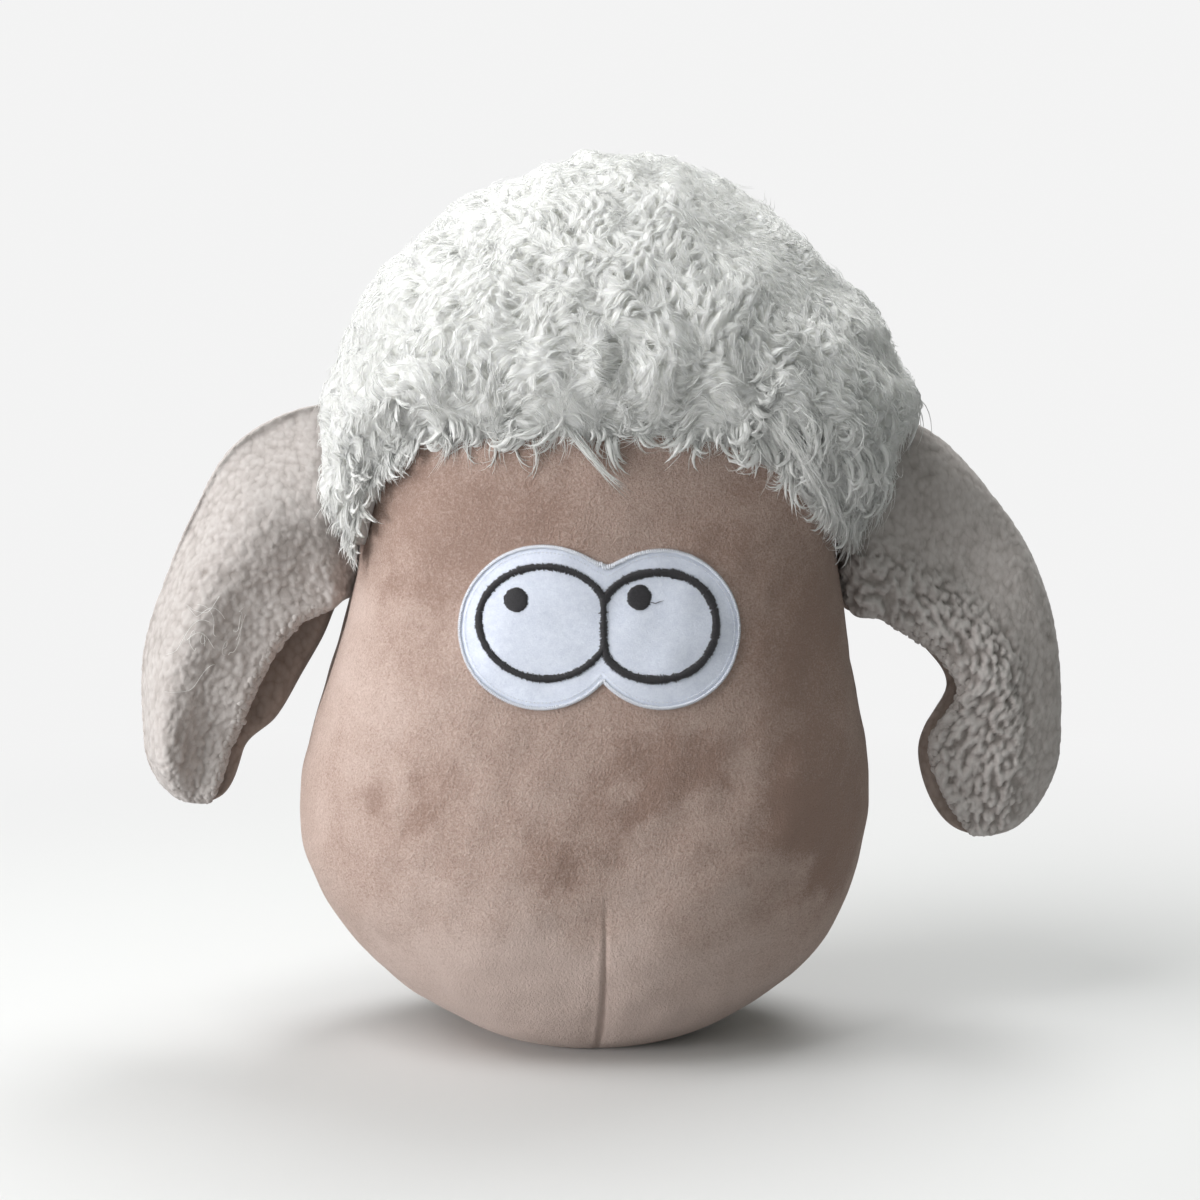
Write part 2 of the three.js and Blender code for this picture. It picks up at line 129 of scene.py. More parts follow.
world = bpy.data.worlds.new("room")
bpy.context.scene.world = world
world.use_nodes = True
world.node_tree.nodes.clear()
node = node_adder(world.node_tree)
room = node("Background", Color=room_tint, Strength=room_strength)
backdrop = node("Background", Color=grey(backdrop_tone))
mixed = node("MixShader", in_0=seen_directly(node), in_1=room, in_2=backdrop)
output = world.node_tree.nodes.new("ShaderNodeOutputWorld")
world.node_tree.links.new(mixed, output.inputs["Surface"])

# Floor. A wide pale table top that keeps the head's shadow and fades into the backdrop around it.
floor_reach = 9.0
floor_tone = 0.45
seen_floor_tone = 0.78
fade_from = 0.3
fade_to = 0.85


def new_material(name, **finish):
    """A node material with these values on its shader, with the call that adds a node to it and the one that
    feeds the shader's inputs."""
    material = bpy.data.materials.new(name)
    material.use_nodes = True
    tree = material.node_tree
    inputs = tree.nodes["Principled BSDF"].inputs
    for key, value in finish.items():
        inputs[key.replace("_", " ")].default_value = value

    def feed(**outputs):
        for key, value in outputs.items():
            tree.links.new(value, inputs[key.replace("_", " ")])

    return material, node_adder(tree), feed


floor_material, node, feed = new_material("pale_table", Roughness=0.8)
outwards = node("VectorMath", "Value", operation="LENGTH", in_0=node("TexCoord", "Object"))
fade = node("MapRange", interpolation_type="SMOOTHSTEP", in_0=outwards, in_1=fade_from, in_2=fade_to)
direct = seen_directly(node)
feed(Base_Color=node("MixRGB", in_0=direct, in_1=grey(floor_tone), in_2=grey(seen_floor_tone)))
share = node("Math", operation="MULTIPLY", in_0=direct, in_1=fade)
tree = floor_material.node_tree
surface = tree.nodes["Principled BSDF"].outputs[0]
blended = node("MixShader", in_0=share, in_1=surface, in_2=node("Emission", in_0=grey(backdrop_tone)))
tree.links.new(blended, tree.nodes["Material Output"].inputs["Surface"])

corners = floor_reach * np.array([[-1, -1, 0], [1, -1, 0], [1, 1, 0], [-1, 1, 0]])
floor_mesh = bpy.data.meshes.new("floor")
floor_mesh.from_pydata(corners.tolist(), [], [(0, 1, 2, 3)])
floor_mesh.materials.append(floor_material)
floor = bpy.data.objects.new("floor", floor_mesh)
bpy.context.scene.collection.objects.link(floor)

# Filling. Loose polyester fibre packed firmly into the head. It gives the head its form: wide low cheeks,
# a narrower brow, a round crown that leans a little, and a base pressed flat by its own weight. It lies a
# little deeper under the seams, where they draw the cloth in.
crown_height = 0.411
cheek_height = 0.120
brow_height = 0.262
cheek_half_width = 0.1425
brow_half_width = 0.1175
muzzle_depth, nape_depth = 0.098, 0.084
forehead_depth, crown_back_depth = 0.087, 0.077
crown_lean = 0.014
lean_bend = 1.6
settled_aside, settled_rise = 0.004, (0.25, 0.1)
cheeks_aside, cheeks_rise = 0.002, (0.14, 0.08)
standing_rise = (0.03, 0.07)
pressed_flat = 0.0055
side_fullness, muzzle_fullness = 2.0, 2.6
crown_fullness, girth_fullness = 2.3, 2.3
dart_place = -0.0019
dart_height = 0.102
dart_base_share, dart_base_rise = 0.3, 0.03
dart_depth = 0.0014
dart_half_width = 0.006
dart_crease_depth = 0.0015
dart_crease_half_width = 0.0013
dart_lap, dart_lap_aside, dart_lap_half_width = 0.0007, 0.0028, 0.0019
seam_closeness, seam_closeness_reach = 2.5, 0.008
weld_distance = 1e-5
plush_thickness = 0.003
filling_clearance = 0.0005


def smoothstep(t):
    """3t^2 - 2t^3 of t held between 0 and 1."""
    held = np.clip(t, 0, 1)
    return held * held * (3 - 2 * held)


def risen(value, span):
    """A smoothstep that starts at the span's first number and takes its second one to rise."""
    start, length = span
    return smoothstep((value - start) / length)


def mix(a, b, t):
    """A share t of the way from a to b."""
    return a + (b - a) * t


def unit(vectors):
    """Each vector divided by its length."""
    return vectors / np.maximum(np.linalg.norm(vectors, axis=-1, keepdims=True), 1e-12)


def end_rounding(z, fullness):
    """What is left of the full size at height z: a superellipse below the cheeks and one above the brow."""
    drop = np.clip((cheek_height - z) / (cheek_height + pressed_flat), 0, 1)
    rise = np.clip((z - brow_height) / (crown_height - brow_height), 0, 1)
    low = (1 - drop**fullness) ** (1 / fullness)
    high = (1 - rise**crown_fullness) ** (1 / crown_fullness)
    return np.where(z < cheek_height, low, high)


def up_the_face(z):
    """0 up to the cheeks, rising to 1 at the brow."""
    return risen(z, (cheek_height, brow_height - cheek_height))


def lean_at(z):
    """How far aside the head's axis is at height z: the crown leans to one side, and the cheeks have settled
    a little to the other."""
    settled = settled_aside * (1 - risen(z, settled_rise)) + cheeks_aside * (1 - risen(z, cheeks_rise))
    leaning = crown_lean * (np.maximum(z, 0) / crown_height) ** lean_bend
    return leaning - settled * risen(z, standing_rise)


def head_half_width(z):
    """Half the head's width: from the cheeks' to the brow's, times what the rounding of the ends leaves."""
    return mix(cheek_half_width, brow_half_width, up_the_face(z)) * end_rounding(z, side_fullness)


def head_depth(z, in_front):
    """How far the head reaches forwards or back from its axis, found like its width."""
    low = np.where(in_front, muzzle_depth, nape_depth)
    high = np.where(in_front, forehead_depth, crown_back_depth)
    return mix(low, high, up_the_face(z)) * end_rounding(z, muzzle_fullness)


def signed_power(values, power):
    """The power of the size, with the sign kept."""
    return np.sign(values) * np.abs(values) ** power


def head_point(angle, z):
    """A superellipse across and along the head at height z. The angle runs from +X towards the back. The
    chin is folded in along the middle by a wide soft dip and a narrow crease, with the cloth on one side
    lying a little over the other, and all three fade upwards."""
    c, s = np.cos(angle), np.sin(angle)
    across = head_half_width(z) * signed_power(c, 2 / girth_fullness)
    along = head_depth(z, s < 0) * signed_power(s, 2 / girth_fullness)
    place = across + lean_at(z)
    beside_dart = place - dart_place
    dip = dart_depth * np.exp(-((beside_dart / dart_half_width) ** 2))
    crease = dart_crease_depth * np.exp(-((beside_dart / dart_crease_half_width) ** 2))
    lap = dart_lap * np.exp(-(((beside_dart + dart_lap_aside) / dart_lap_half_width) ** 2))
    fold = (dip + crease - lap) * (1 - smoothstep(z / dart_height) ** 2)
    fold = fold * smoothstep(dart_base_share + z / dart_base_rise) * (s < 0)
    return np.stack([place, along + fold, z + 0 * across], -1)


def running_sum(steps):
    """0, and then the sum of the steps up to each."""
    return np.concatenate([[0], np.cumsum(steps)])


def spaced_turns(low, high, count, dart_closeness=0.0):
    """Turns from low to high with even steps along the girth of the cheeks. The steps shorten towards both
    ends, where the seams are, and by 1 + dart_closeness at the dart."""
    table = np.linspace(low, high, 4001)
    line = head_point(table, np.full_like(table, cheek_height))
    run = np.linalg.norm(np.diff(line, axis=0), axis=-1)
    walked = running_sum(run)
    middle = (walked[1:] + walked[:-1]) / 2
    from_seam = np.minimum(middle, walked[-1] - middle)
    from_dart = (line[1:, 0] - dart_place) / dart_half_width
    at_seam = seam_closeness * np.exp(-((from_seam / seam_closeness_reach) ** 2))
    weighed = running_sum(run * (1 + at_seam + dart_closeness * np.exp(-(from_dart**2))))
    return np.interp(np.linspace(0, weighed[-1], count), weighed, table)


def face_turn(x, z):
    """The angle round the head of the point of the face that is at x, seen from the front at height z."""
    share = np.clip((x - lean_at(z)) / head_half_width(z), -0.9999, 0.9999)
    return -np.arccos(signed_power(share, girth_fullness / 2))


def head_normal(angle, z):
    """The cross product of a small step round the head and a small step up it."""
    turn, rise = 1e-3, crown_height * 1e-4
    low = np.clip(z - rise, 0, crown_height * 0.9993)
    high = low + 2 * rise
    high = np.minimum(high, crown_height * 0.9996)
    around = head_point(angle + turn, z) - head_point(angle - turn, z)
    upwards = head_point(angle, high) - head_point(angle, low)
    return unit(np.cross(around, upwards))


def grid_faces(rows, columns):
    """Two triangles for each cell of a grid of points stored row after row."""
    at = np.arange(rows * columns).reshape(rows, columns)
    a, b, c, d = at[:-1, :-1], at[:-1, 1:], at[1:, 1:], at[1:, :-1]
    return np.concatenate([np.stack([a, b, c], -1).reshape(-1, 3), np.stack([a, c, d], -1).reshape(-1, 3)])


def make_piece(name, points, faces, material, slot, body="head", replaced="", **shades):
    """A smooth piece of triangles that rides on a body, and takes the place of a CAD node if it names one.
    Each shade holds a number or three for each point."""
    mesh = bpy.data.meshes.new(name)
    mesh.vertices.add(len(points))
    mesh.vertices.foreach_set("co", np.ascontiguousarray(points, np.float32).ravel())
    mesh.loops.add(faces.size)
    mesh.loops.foreach_set("vertex_index", np.ascontiguousarray(faces, np.int32).ravel())
    mesh.polygons.add(len(faces))
    mesh.polygons.foreach_set("loop_start", np.arange(0, faces.size, 3, dtype=np.int32))
    mesh.polygons.foreach_set("use_smooth", np.ones(len(faces), bool))
    for shade, values in shades.items():
        kind, field = ("FLOAT", "value") if np.ndim(values) == 1 else ("FLOAT_VECTOR", "vector")
        held = mesh.attributes.new(shade, kind, "POINT")
        held.data.foreach_set(field, np.ascontiguousarray(values, np.float32).ravel())
    mesh.update(calc_edges=True)
    mesh.materials.append(material)
    piece = bpy.data.objects.new(name, mesh)
    bpy.context.scene.collection.objects.link(piece)
    if replaced:
        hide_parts(replaced)
    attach(piece, body)
    return piece


def welded(points, faces, *shades):
    """Points closer than a hundredth of a millimetre become one. Faces that lose a corner are dropped, and so
    are faces that then lie back to back. The shades keep the numbers of the points that stay."""
    rounded = np.round(points / weld_distance).astype(np.int64)
    first, index = np.unique(rounded, axis=0, return_index=True, return_inverse=True)[1:]
    faces = index.ravel()[faces]
    a, b, c = faces.T
    faces = faces[(a != b) & (b != c) & (c != a)]
    alike, times = np.unique(np.sort(faces, axis=1), axis=0, return_inverse=True, return_counts=True)[1:]
    faces = faces[times[alike.ravel()] == 1]
    return (points[first], faces, *(shade[first] for shade in shades))


def ramp(node, fac, *stops):
    """A colour ramp fed by `fac`, through stops of a place and a colour."""
    colour = node("ValToRGB", Fac=fac)
    elements = colour.node.color_ramp.elements
    for element, (place, tint) in zip(elements, (stops[0], stops[-1])):
        element.position, element.color = place, (*tint, 1)
    for place, tint in stops[1:-1]:
        elements.new(place).color = (*tint, 1)
    return colour


filling_material, node, feed = new_material("polyester_fibre", Roughness=0.9)
tufts = node("TexNoise", Vector=node("TexCoord", "Object"), Scale=140.0, Detail=4.0)
feed(Base_Color=ramp(node, tufts, (0, (0.72, 0.72, 0.7)), (1, (0.86, 0.86, 0.85))))

filling_rows, filling_columns = 60, 145
filling_hollow, filling_hollow_reach = 0.0045, 0.014
filling_lump_room = 0.001
turns = np.linspace(-np.pi / 2, 3 * np.pi / 2, filling_columns)
heights = np.concatenate([
    np.full(1, 0.0),
    mix(0, brow_height, np.linspace(0, 1, filling_rows) ** 1.35),
    mix(brow_height, crown_height, np.sin(np.linspace(0.06, 1, filling_rows // 2) * np.pi / 2)),
])
angles, levels = np.meshgrid(turns, heights)
inset = plush_thickness + filling_clearance
packed = head_point(angles, levels)
from_side, from_back = np.abs(packed[..., 1]), np.abs(packed[..., 0] - lean_at(levels))
from_seam = np.where(np.sin(angles) > 0, np.minimum(from_side, from_back), from_side)
hollow = filling_hollow * np.exp(-((from_seam / filling_hollow_reach) ** 2))
packed = packed - (inset + filling_lump_room + hollow)[..., None] * head_normal(angles, levels)
packed[..., 2] = np.maximum(packed[..., 2], inset)
packed[0] = (0, 0, inset)
packed[-1] = (lean_at(crown_height), 0, crown_height - inset)
packed[:, -1] = packed[:, 0]
points, faces = welded(packed.reshape(-1, 3), grid_faces(*angles.shape))
filling = make_piece("filling_fibre", points, faces, filling_material, "filling", replaced="filling")

# Plush panels. One for the face, folded in at the chin by a dart, and two for the back, cut from short
# brown plush with a brushed nap and sewn inside out, so that the seams draw in to narrow creases.
wool_seam_drop = 0.004
temple_hem_height = 0.250
forehead_hem_height = 0.307
nape_hem_height = 0.250
ear_notch_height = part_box("ear_left_fleece")[1].z + 0.006
ear_notch_span = (0.008, 0.019)
left_hem_shares = [0, 0.1, 0.75, 0.88, 0.95, 1]
right_hem_shares = [0, 0.03, 0.12, 0.28, 0.66, 1]
seam_draw = 0.0026
seam_reach = 0.0042
panel_gap = 0.00015
base_rings = 9
panel_row_spread = 1.3
resting_height = 0.02
stuffing_lumps = ((0.0006, 0.08, 5), (0.0002, 0.024, 6))
aside_waver = ((0.005, 0.035, 41), (0.002, 0.012, 42))
upward_waver = ((0.005, 0.032, 43), (0.002, 0.011, 44))


def read_shares(shares, t):
    """A Catmull-Rom line through evenly spaced shares, read at t from 0 to 1."""
    shares = np.asarray(shares, float)
    place = np.clip(t, 0, 1) * (len(shares) - 1)
    k = np.minimum(place.astype(int), len(shares) - 2)
    a, b, c, d = (shares[np.clip(k + n, 0, len(shares) - 1)] for n in (-1, 0, 1, 2))
    u = place - k
    return b + 0.5 * u * (c - a + u * (2 * a - 5 * b + 4 * c - d + u * (3 * (b - c) + d - a)))


def over_ear(angle):
    """1 over the middle of each ear's root, fading to 0 in front of it and behind."""
    from_seam = np.abs(head_point(angle, np.full_like(angle, brow_height))[..., 1])
    return 1 - risen(from_seam, ear_notch_span)


def hem_height(angle):
    """Where the plush ends and the wool begins: low at the temples and the nape, and high over each ear."""
    turned = np.abs(np.sin(angle))
    left, right = read_shares(left_hem_shares, turned), read_shares(right_hem_shares, turned)
    front = mix(temple_hem_height, forehead_hem_height, np.where(np.cos(angle) < 0, left, right))
    rear = mix(temple_hem_height, nape_hem_height, turned)
    return mix(np.where(np.sin(angle) < 0, front, rear), ear_notch_height, over_ear(angle))


def waves(points, size, seed, count=14):
    """Soft lumps: a sum of sine waves, with directions and phases drawn once and lengths near `size`."""
    draw = np.random.default_rng(seed)
    directions = unit(draw.normal(size=(count, 3))) * (2 * np.pi / size) * draw.uniform(0.6, 1.5, (count, 1))
    phases = draw.uniform(0, 2 * np.pi, count)
    return np.sin(points @ directions.T + phases).sum(-1) / np.sqrt(count / 2)


def shell(outer, inner):
    """A closed layer of cloth between two grids of points, with their rims joined."""
    rows, columns = outer.shape[:2]
    outside = grid_faces(rows, columns)
    inside = grid_faces(rows, columns)[:, ::-1] + rows * columns
    at = np.arange(rows * columns).reshape(rows, columns)
    rim = np.concatenate([at[0], at[1:, -1], at[-1, -2::-1], at[-2:0:-1, 0]])
    after = np.roll(rim, -1)
    below, below_after = rim + rows * columns, after + rows * columns
    first, second = np.stack([rim, below_after, after], -1), np.stack([rim, below, below_after], -1)
    points = np.concatenate([outer.reshape(-1, 3), inner.reshape(-1, 3)])
    return points, np.concatenate([outside, inside, first, second])


def layered(points, layers):
    """Lumps of several sizes added up. Each layer is a height, a size and the seed of its draw."""
    return sum(height * waves(points, size, seed) for height, size, seed in layers)


def cloth_lumps(points):
    """How far the stuffing pushes the cloth out here and there."""
    return layered(points, stuffing_lumps)


def new_group(name, outputs, **inputs):
    """A shader node group with these numbers and vectors as its inputs and a number for each output. With it
    come the call that adds a node to it, its inputs, and the call that feeds its outputs."""
    group = bpy.data.node_groups.new(name, "ShaderNodeTree")
    for key, value in inputs.items():
        kind = "NodeSocketVector" if isinstance(value, tuple) else "NodeSocketFloat"
        made = group.interface.new_socket(key.replace("_", " "), in_out="INPUT", socket_type=kind)
        made.default_value = value
    for key in outputs:
        group.interface.new_socket(key, in_out="OUTPUT", socket_type="NodeSocketFloat")
    given = group.nodes.new("NodeGroupInput").outputs
    given_back = group.nodes.new("NodeGroupOutput").inputs

    def feed(**values):
        for key, value in values.items():
            group.links.new(value, given_back[key])

    return group, node_adder(group), given, feed


def weighted(node, value, weight, added):
    """value x weight + added."""
    return node("Math", operation="MULTIPLY_ADD", in_0=value, in_1=weight, in_2=added)


# The look of brushed short nap: broad soft patches where the nap lies over, short streaks down the cloth, and
# a grain of single tufts. One more input darkens the tone where it is positive and lightens it where
# negative:
# partly nap that a hand has pressed down, partly painted shade and painted light laid on the face.
nap, node, given, feed = new_group(
    "brushed_nap_and_painted_shade", ("Tone", "Height"),
    Patch=30.0, Streak=420.0, Grain=1000.0, Grain_share=0.70, Laid_over=0.0,
)
place = node("TexCoord", "Object")
flatter = node("Mapping", Vector=place, Scale=(1, 1, 0.7))
patches = node("TexNoise", Vector=place, Scale=given["Patch"], Detail=3.0, Roughness=0.55, Distortion=0.9)
streaks = node("TexNoise", Vector=flatter, Scale=given["Streak"], Detail=3.0, Roughness=0.6, Distortion=0.4)
grain = node("TexNoise", Vector=place, Scale=given["Grain"], Detail=2.0, Roughness=0.7, Distortion=0.6)
tufted = node("Math", operation="MULTIPLY", in_0=grain, in_1=given["Grain share"])
brushed_up = weighted(node, streaks, 0.20, weighted(node, patches, 0.30, tufted))
feed(
    Tone=weighted(node, given["Laid over"], -0.19, brushed_up),
    Height=weighted(node, streaks, 0.6, grain),
)


def plush_material(name, dark, mid, light):
    """Plush whose nap group chooses between three browns, led also by the painted shade and painted light
    that the face holds, with a soft sheen at glancing angles.
    """
    material, node, feed = new_material(
        name, Roughness=0.85, Specular_IOR_Level=0.25, Sheen_Weight=0.35, Sheen_Roughness=0.4,
        Sheen_Tint=(0.95, 0.86, 0.8, 1),
    )
    # Pressed nap together with painted shade and painted light, held by the face's points.
    pressed_nap_and_painted_shade = node("Attribute", "Fac", attribute_name="laid_over")
    tone = node("Group", "Tone", node_tree=nap, Laid_over=pressed_nap_and_painted_shade)
    bump = node("Bump", Strength=0.7, Distance=0.0011, Height=tone.node.outputs["Height"])
    feed(Base_Color=ramp(node, tone, (0.38, dark), (0.59, mid), (0.82, light)), Normal=bump)
    return material


face_plush = plush_material("face_plush", (0.318, 0.213, 0.174), (0.470, 0.347, 0.299), (0.61, 0.481, 0.432))
back_plush = plush_material("back_plush", (0.300, 0.212, 0.178), (0.400, 0.294, 0.254), (0.480, 0.363, 0.320))


def panel_grid(sides, rows, offset):
    """Points of a panel. Its columns run across, closer at the seams and the dart, and its rows climb from
    the middle of the base to just under the wool. Seams draw in by seam_draw."""
    hem = hem_height(sides) + wool_seam_drop
    climb = np.linspace(0, 1, rows) ** panel_row_spread
    angles = np.broadcast_to(sides, (rows, len(sides)))
    levels = climb[:, None] * hem
    points, normals = head_point(angles, levels), head_normal(angles, levels)
    run = np.linalg.norm(np.diff(points, axis=1), axis=-1)
    walked = np.concatenate([np.zeros((rows, 1)), np.cumsum(run, 1)], 1)
    from_seam = np.minimum(walked, walked[:, -1:] - walked)
    drawn = seam_draw * np.exp(-((from_seam / seam_reach) ** 1.2))
    off_table = smoothstep(levels / resting_height)
    lifted = points + normals * (offset + cloth_lumps(points) * off_table - drawn)[..., None]
    lifted[..., 2] = np.maximum(lifted[..., 2], -offset)
    rings = np.linspace(0, 1, base_rings)[:-1, None, None]
    middle = np.array([0, 0, -offset]) + 0 * lifted[0]
    middle[:, 1] = 0
    base = middle + (lifted[0] - middle) * rings
    grid = np.concatenate([base, lifted])
    inwards = np.array([0, np.sin(np.mean(sides)) * panel_gap, 0])
    return grid + inwards


def nap_and_painted_shade_at(points, places):
    """How far the nap is pressed over, together with painted shade and painted light: a sum of soft ovals on
    the face, with wavering edges. Each place is a centre (x, z), two reaches, a tilt and a strength."""
    x = points[:, 0] + layered(points, aside_waver)
    z = points[:, 2] + layered(points, upward_waver)
    total = 0 * x
    for centre_x, centre_z, long_reach, short_reach, tilt, strength in places:
        along = ((x - centre_x) * np.cos(tilt) + (z - centre_z) * np.sin(tilt)) / long_reach
        aside = ((z - centre_z) * np.cos(tilt) - (x - centre_x) * np.sin(tilt)) / short_reach
        total += strength * np.exp(-((along**2 + aside**2) ** 2))
    return total


# Ovals of pressed nap, painted shade and painted light. The small ones across the cheeks are pressed nap. The
# darker ones on the right side of the face and along the brow under the wool are painted shade, and the ones
# with negative strengths, low on the left, at the left edge and at the chin, are painted light.
nap_and_painted_shade_places = [
    (0.030, 0.149, 0.052, 0.015, 0.48, 0.9),
    (-0.089, 0.129, 0.021, 0.014, 1.2, 0.8),
    (-0.028, 0.104, 0.014, 0.010, 0.3, 0.7),
    (0.019, 0.166, 0.016, 0.011, 0.6, 0.5),
    (0.112, 0.099, 0.026, 0.018, 0.8, 0.9),
    (0.094, 0.128, 0.032, 0.020, 0.2, 0.9),
    (0.118, 0.165, 0.045, 0.085, 0.0, 0.95),
    (-0.066, 0.264, 0.060, 0.036, 0.1, 0.95),
    (0.070, 0.235, 0.060, 0.050, 0.0, 0.6),
    (-0.060, 0.060, 0.060, 0.032, -0.3, -0.45),
    (-0.118, 0.175, 0.018, 0.055, 0.0, -0.5),
    (-0.020, 0.018, 0.125, 0.066, 0.0, -1.15),
]


def add_panel(name, sides, rows, material, replaced, slot, places=()):
    """A plush panel with its inner side plush_thickness under its face."""
    outer, inner = panel_grid(sides, rows, 0), panel_grid(sides, rows, -plush_thickness)
    points, faces = welded(*shell(outer, inner))
    # Pressed nap, painted shade and painted light, from the listed ovals.
    laid_over = nap_and_painted_shade_at(points, places)
    make_piece(name, points, faces, material, slot, replaced=replaced, laid_over=laid_over)


face_sides = spaced_turns(-np.pi, 0, 225, dart_closeness=5.0)
back_sides = spaced_turns(0, np.pi, 141)
middle_column = len(back_sides) // 2
right_sides, left_sides = back_sides[: middle_column + 1], back_sides[middle_column:]
add_panel("face_plush_panel", face_sides, 120, face_plush, "face_panel", "face_plush", nap_and_painted_shade_places)
add_panel("back_plush_right", right_sides, 110, back_plush, "back_panel_right", "back_plush")
add_panel("back_plush_left", left_sides, 110, back_plush, "back_panel_left", "back_plush")

# Closing stitches. The head is filled through a gap low in the back seam, which is then drawn shut by hand
# with short ladder stitches in matching thread.
closing_low, closing_high = 0.05, 0.12
closing_pitch = 0.0045
closing_half_width = 0.0016
closing_thread_radius = 0.00035
closing_arch, closing_depth_share, closing_slant_share = 0.0006, 0.55, 0.12


def tube_faces(count, rings, sides):
    """Triangles of `count` tubes stored one after another: the rings of points, then the point at the tip."""
    size = rings * sides + 1
    ring = np.arange(sides)
    after = (ring + 1) % sides
    a = (np.arange(rings - 1)[:, None] * sides + ring).ravel()
    b = (np.arange(rings - 1)[:, None] * sides + after).ravel()
    walls = np.concatenate([np.stack([a, b, b + sides], -1), np.stack([a, b + sides, a + sides], -1)])
    last = (rings - 1) * sides
    tip = np.stack([last + ring, last + after, np.full(sides, size - 1)], -1)
    fan = np.arange(1, sides - 1)
    root = np.stack([np.zeros(sides - 2, int), fan + 1, fan], -1)
    one = np.concatenate([walls, tip, root])
    return (one[None] + (np.arange(count) * size)[:, None, None]).reshape(-1, 3)


def tubes(paths, radii, sides, across, flatness=1.0):
    """Tubes along paths of shape (count, rings + 1, 3). The last point is the tip. Each ring lies in the
    plane of the path's two cross directions, the first of them `across`, and is `flatness` as thick as it
    is wide."""
    steps = unit(np.gradient(paths, axis=1))
    first = unit(across - (across * steps).sum(-1, keepdims=True) * steps)
    second = flatness * np.cross(steps, first)
    turn = np.arange(sides) * 2 * np.pi / sides
    circle = np.cos(turn)[:, None] * first[:, :-1, None] + np.sin(turn)[:, None] * second[:, :-1, None]
    rings = paths[:, :-1, None] + radii[:, :-1, None, None] * circle
    count, ring_count = paths.shape[0], paths.shape[1] - 1
    points = np.concatenate([rings.reshape(count, ring_count * sides, 3), paths[:, -1:]], 1)
    return points.reshape(-1, 3), tube_faces(count, ring_count, sides)


def stitches(starts, ends, ups, arch, radius, rings=5, sides=4):
    """Short threads from start to end, each lifted in a half sine by `arch` along its own up direction."""
    t = np.linspace(0, 1, rings + 1)
    straight = mix(starts[:, None], ends[:, None], t[:, None])
    paths = straight + ups[:, None] * (arch * np.sin(np.pi * t) ** 0.7)[:, None]
    radii = np.broadcast_to(radius * np.sin(np.pi * mix(0.14, 0.86, t)) ** 0.5, paths.shape[:2])
    across = np.broadcast_to(ups[:, None], paths.shape)
    return tubes(paths, radii, sides, across)


# Twisted fibres, seen as a fine noise.
twisted, node, given, feed = new_group("twisted_fibres", ("Fibre",), Fineness=2500.0)
feed(Fibre=node("TexNoise", Vector=node("TexCoord", "Object"), Scale=given["Fineness"], Detail=2.0))


def thread_material(name, dark, light, roughness, fineness):
    """Twisted thread: its fibres lie between two tones, with a silky highlight."""
    material, node, feed = new_material(name, Roughness=roughness, Sheen_Weight=0.1)
    fibres = node("Group", node_tree=twisted, Fineness=fineness)
    bump = node("Bump", Strength=0.4, Distance=0.0001, Height=fibres)
    feed(Base_Color=ramp(node, fibres, (0.3, dark), (0.7, light)), Normal=bump)
    return material


brown_thread = thread_material("brown_thread", (0.14, 0.1, 0.08), (0.26, 0.19, 0.16), 0.6, 2500.0)

closing_heights = np.arange(closing_low, closing_high, closing_pitch)
seam_turns = np.full_like(closing_heights, np.pi / 2)
on_seam = head_point(seam_turns, closing_heights)
seam_ups = head_normal(seam_turns, closing_heights)
on_seam = on_seam - seam_ups * (seam_draw * closing_depth_share)
slant = np.array([closing_half_width, 0, closing_pitch * closing_slant_share])
points, faces = stitches(on_seam - slant, on_seam + slant, seam_ups, closing_arch, closing_thread_radius)
make_piece("closing_stitches", points, faces, brown_thread, "brown_thread")

# Wool cap. White lambswool pile on a woven backing, cut in a front and a rear piece that meet in a seam
# over the crown. The pile is matted into small curled lumps, with fine fibres over them, and thins out to
# its hem.
wool_pile = 0.028
wool_hem_pile = 0.008
wool_hem_rise = 0.034
left_hem_pile, left_hem_rise = 0.012, 0.020
left_ear_span, left_drape_span = (0.55, 0.3), (0.8, 0.15)
left_drape, drape_front, drape_rise = 0.013, 0.12, 0.035
drape_outwards_share, backing_over_plush, backing_over_from = 0.15, 0.0006, 0.004
front_fade = 0.6
over_ear_pile, over_ear_rise = 0.015, 0.010
cap_middle, cap_middle_reach = (0.010, 0.320), 0.045
root_degrees, root_spread, root_reach, root_sharpness = -5, 14, 0.055, 0.01
pressed_degrees = [
    -90, -40, -16, -9, -4, 3, 15, 24, 30, 44, 55, 67, 78, 100, 123, 140, 150, 158, 170, 180, 188, 270,
]
pressed_by = np.array([
    0, -1, -5, -14, 5, -4, -1, -8, -12, -13, -16, -13, -2, 0, -2, 1, 4, 6, 5, 7, 2, 0,
]) / 1000
wool_brushed_aside = 0.005
overhang, overhang_span = 0.009, (0.5, 0.4)
overhang_height, overhang_rise = 0.316, 0.02
changed_hem_rise = 0.01
matted_share, matted_hem_share, left_hem_share = 0.88, 0.5, 0.75
matted_hem_rise = 0.02
wool_lump, wool_lump_size = 0.0013, 0.024
lump_reach_above = 0.02
cap_rows, cap_columns = 150, 241
wool_curl_count = 6400
wool_curl_height, curl_sunk_share = 0.0034, 0.45
curl_hem_rise = 0.006
curls_below_hem = 0.0015
swirls = ((1.3, 0.07, 31), (0.8, 0.03, 32))
fibres_across, fibres_along = 1700, 150


def beside_left_ear(angle):
    """1 in front of the left ear, where the wool hangs down as a full tuft."""
    return risen(-np.cos(angle), left_ear_span) * (np.sin(angle) < 0)


def in_front_half(angle):
    """1 in front and at the sides, fading to 0 at the back."""
    return smoothstep((front_fade - np.sin(angle)) / front_fade)


def above_hem(angle, z, rise):
    """0 up to the hem, and 1 from `rise` above it."""
    return smoothstep((z - hem_height(angle)) / rise)


